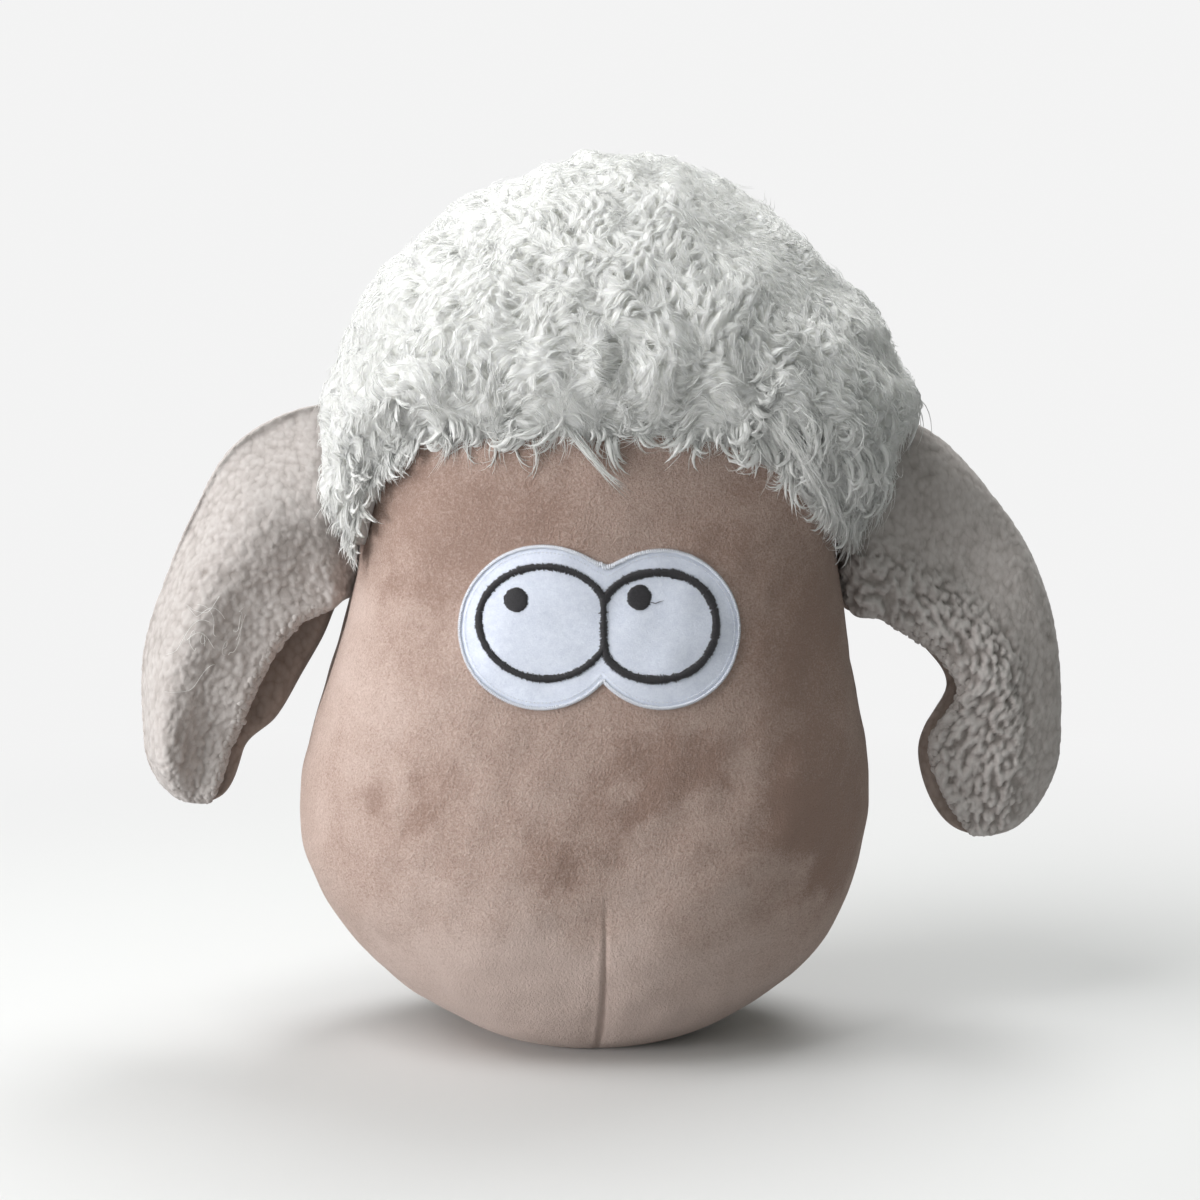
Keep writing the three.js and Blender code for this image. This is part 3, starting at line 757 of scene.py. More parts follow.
def pressed_pile(angle, z):
    """How much fuller or flatter the pile has been pressed, read from a table by the direction from the
    middle of the cap, seen from the front. It fades towards that middle, sooner by the right ear's root."""
    points = head_point(angle, z)
    aside, above = points[..., 0] - cap_middle[0], points[..., 2] - cap_middle[1]
    degrees = (np.degrees(np.arctan2(above, aside)) + 90) % 360 - 90
    over_root = np.exp(-(((degrees - root_degrees) / root_spread) ** 2))
    beyond = np.hypot(aside, above) - cap_middle_reach - root_reach * over_root
    outwards = smoothstep(beyond / (cap_middle_reach - root_sharpness * over_root))
    return np.interp(degrees, pressed_degrees, pressed_by) * (outwards * in_front_half(angle))


def pile_at(angle, z):
    """Thin at the hem, and full from wool_hem_rise above it, with a bulge over the root of the right ear."""
    left, over = beside_left_ear(angle), over_ear(angle)
    hem_rise = mix(mix(wool_hem_rise, left_hem_rise, left), over_ear_rise, over)
    hem_pile = mix(mix(wool_hem_pile, left_hem_pile, left), over_ear_pile, over)
    full = mix(hem_pile, wool_pile, above_hem(angle, z, hem_rise))
    bulge = np.exp(-(((z - overhang_height) / overhang_rise) ** 2)) * risen(np.cos(angle), overhang_span)
    changed = overhang * bulge * in_front_half(angle) + pressed_pile(angle, z)
    return full + changed * above_hem(angle, z, changed_hem_rise)


def brushed(points):
    """The pile leans to one side, more so towards the crown."""
    points = points.copy()
    points[..., 0] += wool_brushed_aside * smoothstep(points[..., 2] / crown_height)
    return points


def drape(angle, z):
    """How far the wool hangs down in front of the left ear, most at the hem."""
    hanging = risen(-np.cos(angle), left_drape_span) * (np.sin(angle) < 0)
    hanging = hanging * smoothstep(-np.sin(angle) / drape_front)
    return left_drape * hanging * (1 - above_hem(angle, z, drape_rise))


def matted(angle, z):
    """The matted body of the wool: a share of the pile high, less at the hem, and softly lumpy."""
    drop = drape(angle, z)
    points, normals = head_point(angle, z - drop), head_normal(angle, z)
    hem_share = mix(matted_hem_share, left_hem_share, beside_left_ear(angle))
    full = np.maximum(above_hem(angle, z, matted_hem_rise), over_ear(angle))
    share = mix(hem_share, matted_share, full)
    pile = pile_at(angle, z)
    high = share * pile + wool_lump * waves(points, wool_lump_size, 11) * smoothstep(pile / wool_pile)
    return brushed(points + normals * (high + drape_outwards_share * drop)[..., None]), normals


# Fine strands, seen as a noise over places that the pieces stretch along each curl.
stranded, node, given, feed = new_group("fine_strands", ("Strands",), Place=(0.0, 0.0, 0.0))
feed(Strands=node("TexNoise", Vector=given["Place"], Scale=1.0, Detail=3.0, Roughness=0.6))


def wool_material(name, deep, bright, within):
    """Wool fibre. The share `within` of the light spreads inside the wool. Each curl parts into fine strands,
    read from its own coordinates, that are a little creamier in their depth. A tone darkens the wool a
    little:
    each curl's own random tone and, on the pile, painted shade in the creases between the curls."""
    material, node, feed = new_material(
        name, Roughness=0.55, Specular_IOR_Level=0.35, Sheen_Weight=0.2, Subsurface_Weight=within,
        Subsurface_Radius=(1.0, 1.0, 0.95), Subsurface_Scale=0.005,
    )
    strands = node("Group", node_tree=stranded, Place=node("Attribute", "Vector", attribute_name="fibre"))
    depth = ramp(node, strands, (0.3, deep), (0.6, bright))
    # Each curl's own random tone, and on the pile painted shade in the creases between curls.
    tone = node("Attribute", "Fac", attribute_name="tone")
    shades = ramp(node, tone, (0, (0.95, 0.95, 0.935)), (1, (1, 1, 1)))
    varied = node("MixRGB", blend_type="MULTIPLY", in_0=1.0, in_1=depth, in_2=shades)
    feed(Base_Color=varied, Normal=node("Bump", Strength=0.7, Distance=0.0009, Height=strands))
    return material


wool = wool_material("lambswool", (0.88, 0.88, 0.86), (0.94, 0.945, 0.93), 0.75)
wool_strands = wool_material("lambswool_strands", (0.85, 0.85, 0.83), (0.93, 0.935, 0.92), 0.25)


def cap_grid(sides, high):
    """Points from the hem to the crown, placed by `high` as a function of turn and height."""
    climb = np.sin(np.linspace(0, 1, cap_rows) * np.pi / 2)[:, None]
    angles = np.broadcast_to(sides, (cap_rows, len(sides)))
    levels = mix(hem_height(sides), crown_height * 0.9999, climb)
    return high(angles, levels), angles, levels


def backing(angle, z):
    """The inner side of the wool's backing. Where the wool hangs down it lies on the plush."""
    drop = drape(angle, z)
    inset = mix(plush_thickness, -backing_over_plush, smoothstep(drop / backing_over_from))
    return head_point(angle, z - drop) - head_normal(angle, z) * inset[..., None]


def cap_places(count, draw):
    """Places spread evenly over the cap: a golden angle walk whose heights follow the area of the head above
    the lowest hem, and whose turns follow the length of its girth."""
    table_turns = np.linspace(-np.pi, np.pi, 721)
    climb = np.sin(np.linspace(0, 1, 160) * np.pi / 2)
    table_heights = mix(temple_hem_height, crown_height * 0.9999, climb)
    grid = head_point(*np.meshgrid(table_turns, table_heights))
    around = np.linalg.norm(np.diff(grid, axis=1), axis=-1)
    upwards = np.linalg.norm(np.diff(grid, axis=0), axis=-1)
    area = (around[:-1] * upwards[:, :-1]).sum(1)
    walked = running_sum(area)
    share = (np.arange(count) + draw.uniform(0, 1, count)) / count
    heights = np.interp(share * walked[-1], walked, table_heights)
    girth = running_sum(around[40])
    shaken = draw.uniform(-0.25, 0.25, count) / np.sqrt(count)
    golden = np.modf(np.arange(count) * (np.sqrt(5) - 1) / 2 + shaken)[0]
    angles = np.interp(golden % 1 * girth[-1], girth, table_turns)
    return angles, heights


def cap_frame(angle, z):
    """A place on the matted wool, and the directions up from it, down the head and across to the right."""
    points, up = matted(angle, z)
    ahead = head_point(angle + 1e-3, z) - head_point(angle - 1e-3, z)
    around = unit(ahead - (ahead * up).sum(-1, keepdims=True) * up)
    return points, up, -np.cross(up, around), around


def turned(heading, down, across):
    """The directions along and across something that lies at the angle `heading` from straight down."""
    c, s = np.cos(heading)[..., None], np.sin(heading)[..., None]
    return c * down + s * across, c * across - s * down


def lump_relief(points, lumps, tilt=0.0):
    """Lumps that lie on a surface. A lump is a dome over an ellipse that is bent sideways into a parabola.
    The height is the fourth root of the sum of the domes' fourth powers, about 1 on a lump's back. The tilt
    raises a lump's front end and lowers its rear end. It returns the height, the number of the tallest lump
    at each point, and the point's places along and across that lump."""
    rows, columns = points.shape[:2]
    height, along, aside = np.zeros((3, rows, columns))
    tallest = np.zeros((rows, columns), int)
    for top in range(0, rows, 10):
        for start in range(0, columns, 14):
            block = (slice(top, top + 10), slice(start, start + 14))
            flat = points[block].reshape(-1, 3)
            middle = flat.mean(0)
            reach = np.linalg.norm(flat - middle, axis=-1).max() + lumps["half_length"].max()
            near = np.flatnonzero(np.linalg.norm(lumps["centre"] - middle, axis=-1) < reach)
            if len(near) == 0:
                continue
            away = flat[:, None] - lumps["centre"][near]
            u = (away * lumps["forward"][near]).sum(-1)
            w = (away * lumps["sideways"][near]).sum(-1) - lumps["bend"][near] * u**2
            above = (away * lumps["up"][near]).sum(-1)
            inside = 1 - (u / lumps["half_length"][near]) ** 2 - (w / lumps["half_width"][near]) ** 2
            leaning = 1 + tilt * u / lumps["half_length"][near]
            dome = np.clip(inside - (above / lump_reach_above) ** 2, 0, None) ** 0.7 * leaning
            best = dome.argmax(1)
            each = np.arange(len(flat))
            shape = points[block].shape[:2]
            height[block] = ((dome**4).sum(1) ** 0.25).reshape(shape)
            tallest[block] = near[best].reshape(shape)
            along[block], aside[block] = u[each, best].reshape(shape), w[each, best].reshape(shape)
    return height, tallest, along, aside


draw = np.random.default_rng(21)
a, z = cap_places(wool_curl_count, draw)
in_pile = z - hem_height(a) > -curls_below_hem
a, z = a[in_pile], z[in_pile]
count = len(a)
centre, up, down, around = cap_frame(a, z)
here = head_point(a, z)
to_right = smoothstep(here[:, 0] / 0.07) * smoothstep(-np.sin(a) / 0.3)
swirl = layered(here, swirls)
heading = mix(swirl, 0.8 + 0.4 * swirl, to_right) + draw.normal(0, 0.4, count)
forward, sideways = turned(heading, down, around)
half_length = draw.uniform(0.0038, 0.0085, count)
curled = draw.choice([-1, 1], count) * draw.uniform(0.3, 2.2, count)
wool_curls = {
    "angle": a, "centre": centre, "up": up, "forward": forward, "sideways": sideways,
    "half_length": half_length, "half_width": half_length * draw.uniform(0.30, 0.52, count),
    "bend": curled / (4 * half_length),
    "place": draw.uniform(0, 60, (count, 3)),
    "tone": draw.uniform(0.5, 1, count),
    "thinned": smoothstep((z - hem_height(a) + 0.006) / 0.016),
}

for name, replaced, sides in (
    ("wool_front_pile", "wool_front", spaced_turns(-np.pi, 0, cap_columns)),
    ("wool_rear_pile", "wool_rear", spaced_turns(0, np.pi, cap_columns)),
):
    (outer, normals), angles, levels = cap_grid(sides, matted)
    height, tallest, along, aside = lump_relief(outer, wool_curls)
    held = above_hem(angles, levels, curl_hem_rise)
    outer = outer + normals * (wool_curl_height * (height - curl_sunk_share) * held)[..., None]
    outer[-1] = outer[-1].mean(0) * (1, 0, 1)
    stretched = np.stack([fibres_across * aside, fibres_along * along, 0 * along], -1)
    fibre = wool_curls["place"][tallest] + stretched
    # Painted shade: the tone falls in the creases between curls, where the relief is low, on top of each
    # curl's own random tone.
    tone = wool_curls["tone"][tallest] * np.clip(0.1 + height, 0, 1)
    inner = cap_grid(sides, backing)[0]
    inner[-1] = inner[-1].mean(0) * (1, 0, 1)
    points, faces = shell(outer, inner)
    fibre = np.concatenate([fibre.reshape(-1, 3), np.zeros((inner.size // 3, 3))])
    tone = np.concatenate([tone.ravel(), np.zeros(inner.size // 3)])
    points, faces, fibre, tone = welded(points, faces, fibre, tone)
    make_piece(name, points, faces, wool, "wool", replaced=replaced, fibre=fibre, tone=tone)

# Wool fibres. The pile's fine strands lie along each curl, and their loose ends stand off it a little, which
# gives the cap its soft edge against the light.
fibres_on_curl, fibre_steps = 5, 5
fibre_radius = 0.00021
fibre_sunk, fibre_arch = 0.0006, 0.0014
fibre_unevenness, fibre_wobble = 0.00022, 0.00015


def along_tube(steps, sides):
    """The share of its length at each point of a tube whose rings lie at these steps, and 1 at its tip."""
    return np.concatenate([np.repeat(steps[:-1], sides), [1.0]])


def fibres_of(curls, draw):
    """Each fibre follows its curl's parabola at its own place across it, over the back of the dome, from
    under the surface to a loose end beyond the curl. It returns points, faces, tone and fibre place."""
    count = len(curls["angle"])
    curl = np.repeat(np.arange(count), fibres_on_curl)
    total = len(curl)
    t = np.linspace(0, 1, fibre_steps + 1)
    half_length, half_width, bend, thinned = (
        curls[key][curl][:, None] for key in ("half_length", "half_width", "bend", "thinned")
    )
    across = np.tile(np.linspace(-0.8, 0.8, fibres_on_curl), count)[:, None]
    across = across + draw.normal(0, 0.2, (total, 1))
    spread = draw.normal(0, 0.25, (total, 1)) * t
    u = half_length * (mix(-1.0, draw.uniform(0.9, 1.9, (total, 1)), t))
    narrow = 1 - 0.35 * t
    w = bend * u**2 * mix(1.0, 1.25, t) + half_width * (across * narrow + spread)
    w = w + draw.normal(0, fibre_unevenness, (total, fibre_steps + 1))
    dome = np.sqrt(np.clip(1 - (u / half_length) ** 2 - np.clip(across, -0.95, 0.95) ** 2, 0, None))
    loose = draw.gamma(1.5, 0.0008, (total, 1)) * t**2
    h = wool_curl_height * (dome - curl_sunk_share) - fibre_sunk + fibre_arch * np.sin(np.pi * t) + loose
    h = h + draw.normal(0, fibre_wobble, (total, fibre_steps + 1))
    centre, forward, sideways, up = (
        curls[key][curl][:, None] for key in ("centre", "forward", "sideways", "up")
    )
    paths = centre + u[..., None] * forward + w[..., None] * sideways
    paths = paths + (h * thinned)[..., None] * up
    radii = fibre_radius * draw.uniform(0.7, 1.35, (total, 1)) * (1 - 0.7 * t**2)
    points, faces = tubes(paths, radii, 3, np.broadcast_to(sideways, paths.shape))
    rows = along_tube(t, 3)
    places = curls["place"][curl][:, None] + 7.0 + rows[None, :, None] * np.array([0, 0, 1.5])
    return points, faces, np.repeat(0.75 + 0.25 * curls["tone"][curl], len(rows)), places.reshape(-1, 3)


draw = np.random.default_rng(22)
order = np.argsort(wool_curls["angle"])
for k, part in enumerate(np.array_split(order, 8)):
    own_curls = {key: values[part] for key, values in wool_curls.items()}
    points, faces, tone, fibre = fibres_of(own_curls, draw)
    make_piece(f"wool_fibres_{k + 1}", points, faces, wool_strands, "wool", tone=tone, fibre=fibre)

# Hem locks. Along the cut edge of the wool the last rows of locks hang free over the plush, curled at the
# tips, and a few long wisps hang out of them over the brow.
hem_locks = 860
lock_sides = 5
lock_steps, strand_steps = 6, 6
strand_radius = 0.00022
lock_flatness, lock_root_depth = 0.6, 0.0015
fibre_turn, fibre_run = 1.5, 3.0
named_crimp = 0.0006
hem_overlap, front_hem_band, rear_hem_band = 0.0005, 0.011, 0.028
right_brow_span = (0.06, 0.04)


def lock_paths(root, up, down, across, length, lift, droop, turn, curl_power, steps):
    """Each path leaves its root at the angle `lift` above the cloth, bends over to the angle `droop`, and
    turns sideways by `turn`, with the power curl_power keeping most of the turn for the tip. It returns the
    points and the direction across the path at each."""
    s = (np.arange(steps) + 0.5) / steps
    pitch = mix(lift[:, None], droop[:, None], s**0.75)
    heading = turn[:, None] * s ** curl_power
    forward, sideways = turned(heading, down[:, None], across[:, None])
    step = np.cos(pitch)[..., None] * forward + np.sin(pitch)[..., None] * up[:, None]
    walked = np.cumsum(step * (length / steps)[:, None, None], 1)
    paths = np.concatenate([root[:, None], root[:, None] + walked], 1)
    return paths, np.concatenate([sideways[:, :1], sideways], 1)


def beside(paths, sideways, spread, phase, twist, crimp, crimp_turns):
    """Strands that keep their place beside a lock's path, a little closer at the tip, turn round it by
    `twist` and wave from side to side by `crimp`."""
    s = np.linspace(0, 1, paths.shape[1])
    upright = np.cross(sideways, unit(np.gradient(paths, axis=1)))
    round_path = phase[:, None] + twist[:, None] * s
    narrow = (0.55 + 0.75 * np.sin(np.pi * s) - 0.15 * s)[None]
    wave = crimp[:, None] * s * np.sin(crimp_turns[:, None] * 2 * np.pi * s + phase[:, None])
    aside = spread[:, None] * narrow * np.cos(round_path) + wave
    above = spread[:, None] * narrow * np.sin(round_path) * 0.7
    return paths + aside[..., None] * sideways + above[..., None] * upright


def lock_shape(s):
    """The width of a lock along its length: it swells to its middle and closes in a fine tip."""
    return (0.72 + 0.42 * np.sin(np.pi * np.minimum(s / 0.8, 1))) * np.sqrt(1 - s**1.7)


def lock_group(angle, z, length, width, lift, droop, heading, turn, curl_power, crimp, strands, draw):
    """Locks at these places: each has a flat body of fibres curled like a comma, and a few loose strands
    beside it. The arrays have one number for each lock. It returns points, faces, tone and fibre place."""
    surface, up, down, around = cap_frame(angle, z)
    root = surface - up * lock_root_depth
    turned_down, turned_across = turned(heading, down, around)
    count = len(angle)
    own_tone = draw.uniform(0.6, 1, count)
    own_place = draw.uniform(0, 60, (count, 3))
    paths, sideways = lock_paths(
        root, up, turned_down, turned_across, length, lift, droop, turn, curl_power, lock_steps
    )
    s = np.linspace(0, 1, lock_steps + 1)
    radii = (width / 2)[:, None] * lock_shape(s)[None]
    points, faces = tubes(paths, radii, lock_sides, sideways, lock_flatness)
    rows = np.repeat(s[:-1], lock_sides)
    spokes = np.tile(np.arange(lock_sides) * 2 * np.pi / lock_sides, lock_steps)
    shape = np.stack([fibre_turn * np.cos(spokes), fibre_turn * np.sin(spokes), fibre_run * rows], -1)
    shape = np.concatenate([shape, [[0, 0, fibre_run]]])
    tones = np.repeat(own_tone, len(shape))
    places = (own_place[:, None] + shape).reshape(-1, 3)

    lock = np.repeat(np.arange(count), strands)
    total = len(lock)
    fine, across = lock_paths(
        root[lock], up[lock], turned_down[lock], turned_across[lock],
        length=length[lock] * draw.uniform(0.75, 1.2, total),
        lift=lift[lock] + draw.normal(0, 0.14, total),
        droop=droop[lock] + draw.normal(0.05, 0.18, total),
        turn=turn[lock] * draw.uniform(0.7, 1.2, total),
        curl_power=curl_power, steps=strand_steps,
    )
    phase = draw.uniform(0, 2 * np.pi, count)[lock] + np.tile(np.arange(strands), count) * 2.4
    strand = beside(
        fine, across,
        spread=width[lock] * draw.uniform(0.4, 0.85, total),
        phase=phase,
        twist=draw.uniform(-2.0, 2.0, count)[lock],
        crimp=crimp[lock],
        crimp_turns=draw.uniform(1.0, 2.4, total),
    )
    s = np.linspace(0, 1, strand_steps + 1)
    radii = (strand_radius * draw.uniform(0.7, 1.3, total))[:, None] * (1 - 0.75 * s**2)[None]
    fine_points, fine_faces = tubes(strand, radii, 3, across)
    rows = along_tube(s, 3)
    fine_shape = np.stack([0 * rows, 0 * rows, fibre_run * rows], -1)
    fine_places = (own_place[lock][:, None] + 7.0 + fine_shape).reshape(-1, 3)
    return (
        np.concatenate([points, fine_points]),
        np.concatenate([faces, fine_faces + len(points)]),
        np.concatenate([tones, np.repeat(own_tone[lock], len(rows))]),
        np.concatenate([places, fine_places]),
    )


def add_locks(name, *groups):
    """A piece of wool locks that rides on the head."""
    points, faces, tone, fibre = zip(*groups)
    starts = np.cumsum([0] + [len(group) for group in points])
    faces = np.concatenate([group + start for group, start in zip(faces, starts)])
    tone, fibre = np.concatenate(tone), np.concatenate(fibre)
    make_piece(name, np.concatenate(points), faces, wool_strands, "wool", tone=tone, fibre=fibre)


def named_locks(curl_power, strands, draw, *locks):
    """Single locks of the front, one tuple for each: its place (x, z) seen from the front, length, width,
    heading, turn, lift and droop."""
    x, z, length, width, heading, turn, lift, droop = np.array(locks).T
    crimp = np.full(len(x), named_crimp)
    return lock_group(
        face_turn(x, z), z, length, width, lift, droop, heading, turn, curl_power, crimp, strands, draw
    )


draw = np.random.default_rng(47)
table_turns = np.linspace(-np.pi, np.pi, 1441)
line = head_point(table_turns, hem_height(table_turns))
walked = running_sum(np.linalg.norm(np.diff(line, axis=0), axis=-1))
share = (np.arange(hem_locks) + draw.uniform(0, 1, hem_locks)) / hem_locks
angles = np.interp(share * walked[-1], walked, table_turns)
at_back = smoothstep(np.sin(angles) / 0.4)
hem_band = mix(front_hem_band, rear_hem_band, at_back)
heights = hem_height(angles) + mix(hem_overlap, hem_band, draw.uniform(0, 1, hem_locks))

for k, (low, high) in enumerate(((-np.pi, 0), (0, np.pi))):
    chosen = (angles >= low) & (angles < high)
    a, z = angles[chosen], heights[chosen]
    n = len(a)
    here = head_point(a, z)
    right = risen(here[:, 0], right_brow_span) * (1 - k)
    tufted = waves(here, 0.020, 34)
    groups = [lock_group(
        a, z,
        length=draw.uniform(0.009, 0.016, n) * (1 + 0.3 * tufted) * (1 + 0.2 * right),
        width=draw.uniform(0.0014, 0.0030, n),
        lift=draw.uniform(0.1, 0.8, n),
        droop=draw.uniform(-0.5, 0.0, n),
        heading=0.7 * waves(here, 0.025, 33) + draw.normal(0, 0.35, n) + 0.4 * right,
        turn=np.sign(waves(here, 0.03, 35)) * draw.uniform(0.2, 3.4, n),
        curl_power=1.6,
        crimp=draw.uniform(0.0003, 0.0011, n),
        strands=4,
        draw=draw,
    )]
    if k == 0:
        groups += [
            # The long twisted wisp over the brow, and the thin ones to its left.
            named_locks(
                1.0, 12, draw,
                (-0.028, 0.317, 0.049, 0.0015, 0.60, 0.25, -0.05, -0.20),
                (-0.026, 0.315, 0.045, 0.0013, 0.52, 0.50, -0.02, -0.18),
                (-0.024, 0.314, 0.036, 0.0012, 0.75, -0.30, 0.10, -0.15),
            ),
            named_locks(
                2.2, 4, draw,
                (-0.066, 0.309, 0.021, 0.0010, -0.2, 2.0, 0.1, -0.2),
                (-0.056, 0.308, 0.023, 0.0011, 0.3, -2.4, 0.1, -0.2),
                (-0.047, 0.307, 0.021, 0.0010, 0.1, 1.8, 0.1, -0.2),
                (-0.040, 0.309, 0.024, 0.0012, 0.4, -1.5, 0.1, -0.2),
            ),
            # The two bright locks that hang side by side over the right brow.
            named_locks(
                1.0, 24, draw,
                (0.060, 0.321, 0.046, 0.0036, 0.62, 0.10, 0.12, -0.30),
                (0.065, 0.318, 0.045, 0.0034, 0.60, 0.05, 0.10, -0.27),
                (0.069, 0.314, 0.042, 0.0030, 0.55, -0.10, 0.06, -0.24),
                (0.073, 0.310, 0.038, 0.0026, 0.52, -0.15, 0.05, -0.22),
            ),
            named_locks(
                1.0, 20, draw,
                (0.080, 0.300, 0.044, 0.0032, 0.62, -0.10, 0.10, -0.28),
                (0.084, 0.298, 0.042, 0.0028, 0.66, -0.05, 0.08, -0.26),
                (0.088, 0.294, 0.037, 0.0024, 0.60, -0.20, 0.05, -0.24),
            ),
        ]
    add_locks(f"wool_hem_locks_{('front', 'rear')[k]}", *groups)

# Overhanging locks. Long full locks root above the right temple, hang over the top of the ear and end in
# open curls. A pointed tuft closes the hem in front of the left ear, and short locks close it over both.
overhang_locks = 190
draw = np.random.default_rng(59)
a = draw.uniform(-1.2, -0.12, overhang_locks)
z = hem_height(a) + draw.uniform(0.004, 0.040, overhang_locks)
near = smoothstep((a + 1.2) / 0.8)
right_locks = lock_group(
    a, z,
    length=draw.uniform(0.018, 0.030, overhang_locks) * mix(0.85, 1.0, near),
    width=draw.uniform(0.0026, 0.0050, overhang_locks),
    lift=draw.uniform(0.1, 0.6, overhang_locks),
    droop=draw.uniform(-0.7, -0.25, overhang_locks),
    heading=mix(0.5, 0.9, near) + draw.normal(0, 0.22, overhang_locks),
    turn=draw.choice([-1, 1], overhang_locks) * draw.uniform(0.4, 4.0, overhang_locks),
    curl_power=1.9,
    crimp=draw.uniform(0.0003, 0.0010, overhang_locks),
    strands=6,
    draw=draw,
)
tuft_locks = 170
a = draw.uniform(-np.pi + 0.05, -np.pi + 0.66, tuft_locks)
left_locks = lock_group(
    a, hem_height(a) + 0.022 * draw.uniform(0, 1, tuft_locks) ** 2 - 0.0005,
    length=draw.uniform(0.009, 0.015, tuft_locks),
    width=draw.uniform(0.0014, 0.0024, tuft_locks),
    lift=draw.uniform(0.1, 0.7, tuft_locks),
    droop=draw.uniform(-0.45, -0.15, tuft_locks),
    heading=draw.normal(-0.1, 0.3, tuft_locks),
    turn=draw.uniform(-1.4, 1.4, tuft_locks),
    curl_power=1.2,
    crimp=draw.uniform(0.0002, 0.0006, tuft_locks),
    strands=6,
    draw=draw,
)
notch_locks = 160
a = draw.uniform(-0.24, 0.24, notch_locks) + np.pi * (np.arange(notch_locks) % 2)
locks_over_ears = lock_group(
    a, hem_height(a) + draw.uniform(0.0005, 0.009, notch_locks),
    length=draw.uniform(0.009, 0.015, notch_locks),
    width=draw.uniform(0.0020, 0.0034, notch_locks),
    lift=draw.uniform(0.1, 0.5, notch_locks),
    droop=draw.uniform(-0.3, 0.3, notch_locks),
    heading=draw.normal(0, 0.4, notch_locks),
    turn=draw.uniform(-2.5, 2.5, notch_locks),
    curl_power=1.5,
    crimp=draw.uniform(0.0003, 0.0009, notch_locks),
    strands=5,
    draw=draw,
)
add_locks("wool_overhanging_locks", right_locks, left_locks, locks_over_ears)

# Eye patch. White felt cut to two discs that run into each other, laid on the face and held all round its
# edge by a close white satin stitch.
patch_height = 0.2176
patch_centre_x = -0.0035
patch_lobes = ((-0.0287, 0.0016, 0.0396), (0.0293, 0.0001, 0.0387))
top_notch_fill, bottom_notch_fill = 0.0038, 0.0003
felt_bottom, felt_thickness = 0.0002, 0.0013
felt_height = felt_bottom + felt_thickness * 0.9
border_width = 0.0017
border_raise = 0.0004
felt_rings, felt_columns = 26, 220


def face_point(x, z, lift):
    """The point of the face seen from the front at (x, z), lifted along the face's normal."""
    angle = face_turn(x, z)
    points, normals = head_point(angle, z), head_normal(angle, z)
    return points + normals * (lift + cloth_lumps(points))[..., None], normals


def patch_radius(a, inset):
    """How far the patch's edge is from its middle along the direction a: the farther of the two lobes' edges,
    blended where they cross so that the notch between them fills a little."""
    ux, uz = np.cos(a), np.sin(a)
    left, right = (
        ux * x + uz * z + np.sqrt((radius - inset) ** 2 - (ux * z - uz * x) ** 2)
        for x, z, radius in patch_lobes
    )
    fill = mix(bottom_notch_fill, top_notch_fill, smoothstep(0.5 + uz))
    return (left + right) / 2 + np.sqrt(((left - right) / 2) ** 2 + fill**2) - fill * np.abs(ux) ** 0.5


def on_patch(a, radius, lift):
    """The face's point at the distance `radius` from the patch's middle along the direction a."""
    return face_point(patch_centre_x + radius * np.cos(a), patch_height + radius * np.sin(a), lift)


felt, node, feed = new_material("white_felt", Roughness=0.95, Sheen_Weight=0.2)
place = node("TexCoord", "Object")
fibres = node("TexNoise", Vector=place, Scale=700.0, Detail=5.0, Roughness=0.7, Distortion=1.2)
clouds = node("TexNoise", Vector=place, Scale=260.0, Detail=3.0)
tone = weighted(node, clouds, 0.55, fibres)
feed(
    Base_Color=ramp(node, tone, (0.45, (0.66, 0.705, 0.84)), (0.95, (0.83, 0.875, 0.99))),
    Normal=node("Bump", Strength=0.5, Distance=0.0004, Height=fibres),
)

around = np.linspace(0, 2 * np.pi, felt_columns + 1)
shares = np.sin(np.linspace(0, 1, felt_rings) * np.pi / 2)
puff = felt_thickness * np.minimum(1, 0.55 + 3 * (1 - shares))
edge = patch_radius(around, border_width * 0.3)
top = [on_patch(around, share * edge, felt_bottom + lift)[0] for share, lift in zip(shares, puff)]
under = [on_patch(around, share * edge, felt_bottom)[0] for share in shares]
rings = np.array(top + under[::-1])
points, faces = welded(rings.reshape(-1, 3), grid_faces(*rings.shape[:2]))
make_piece("eye_patch_felt", points, faces[:, ::-1], felt, "felt", replaced="eye_patch")

white_thread = thread_material("white_thread", (0.72, 0.75, 0.84), (0.90, 0.92, 0.97), 0.45, 2200.0)
border_stitches, border_slant = 400, 0.006
border_overhang, border_bottom = 0.0002, 0.0001
line = patch_radius(around, 0)
walked = running_sum(np.hypot(np.diff(line * np.cos(around)), np.diff(line * np.sin(around))))
turns = np.interp(np.arange(border_stitches) / border_stitches * walked[-1], walked, around)
draw = np.random.default_rng(8)
slanted = turns + border_slant + draw.normal(0, 0.0012, border_stitches)
insets = border_width + draw.uniform(-0.0002, 0.0002, border_stitches)
inner, ups = on_patch(turns, patch_radius(turns, insets), felt_height)
outer = on_patch(slanted, patch_radius(slanted, -border_overhang), border_bottom)[0]
points, faces = stitches(inner, outer, ups, border_raise + felt_thickness * 0.35, 0.00040)
make_piece(
    "patch_edge_stitches", points, faces, white_thread, "white_thread", replaced="patch_border_stitch"
)

basting_stitches, basting_inset, basting_length = 190, 0.0034, 0.55
turns = np.interp((np.arange(basting_stitches) + 0.5) / basting_stitches * walked[-1], walked, around)
half_step = basting_length * np.pi / basting_stitches
starts, ups = on_patch(turns - half_step, patch_radius(turns - half_step, basting_inset), felt_height)
ends = on_patch(turns + half_step, patch_radius(turns + half_step, basting_inset), felt_height)[0]
points, faces = stitches(starts, ends, ups, 0.00035, 0.0002, rings=4)
make_piece("patch_basting_stitches", points, faces, white_thread, "white_thread")

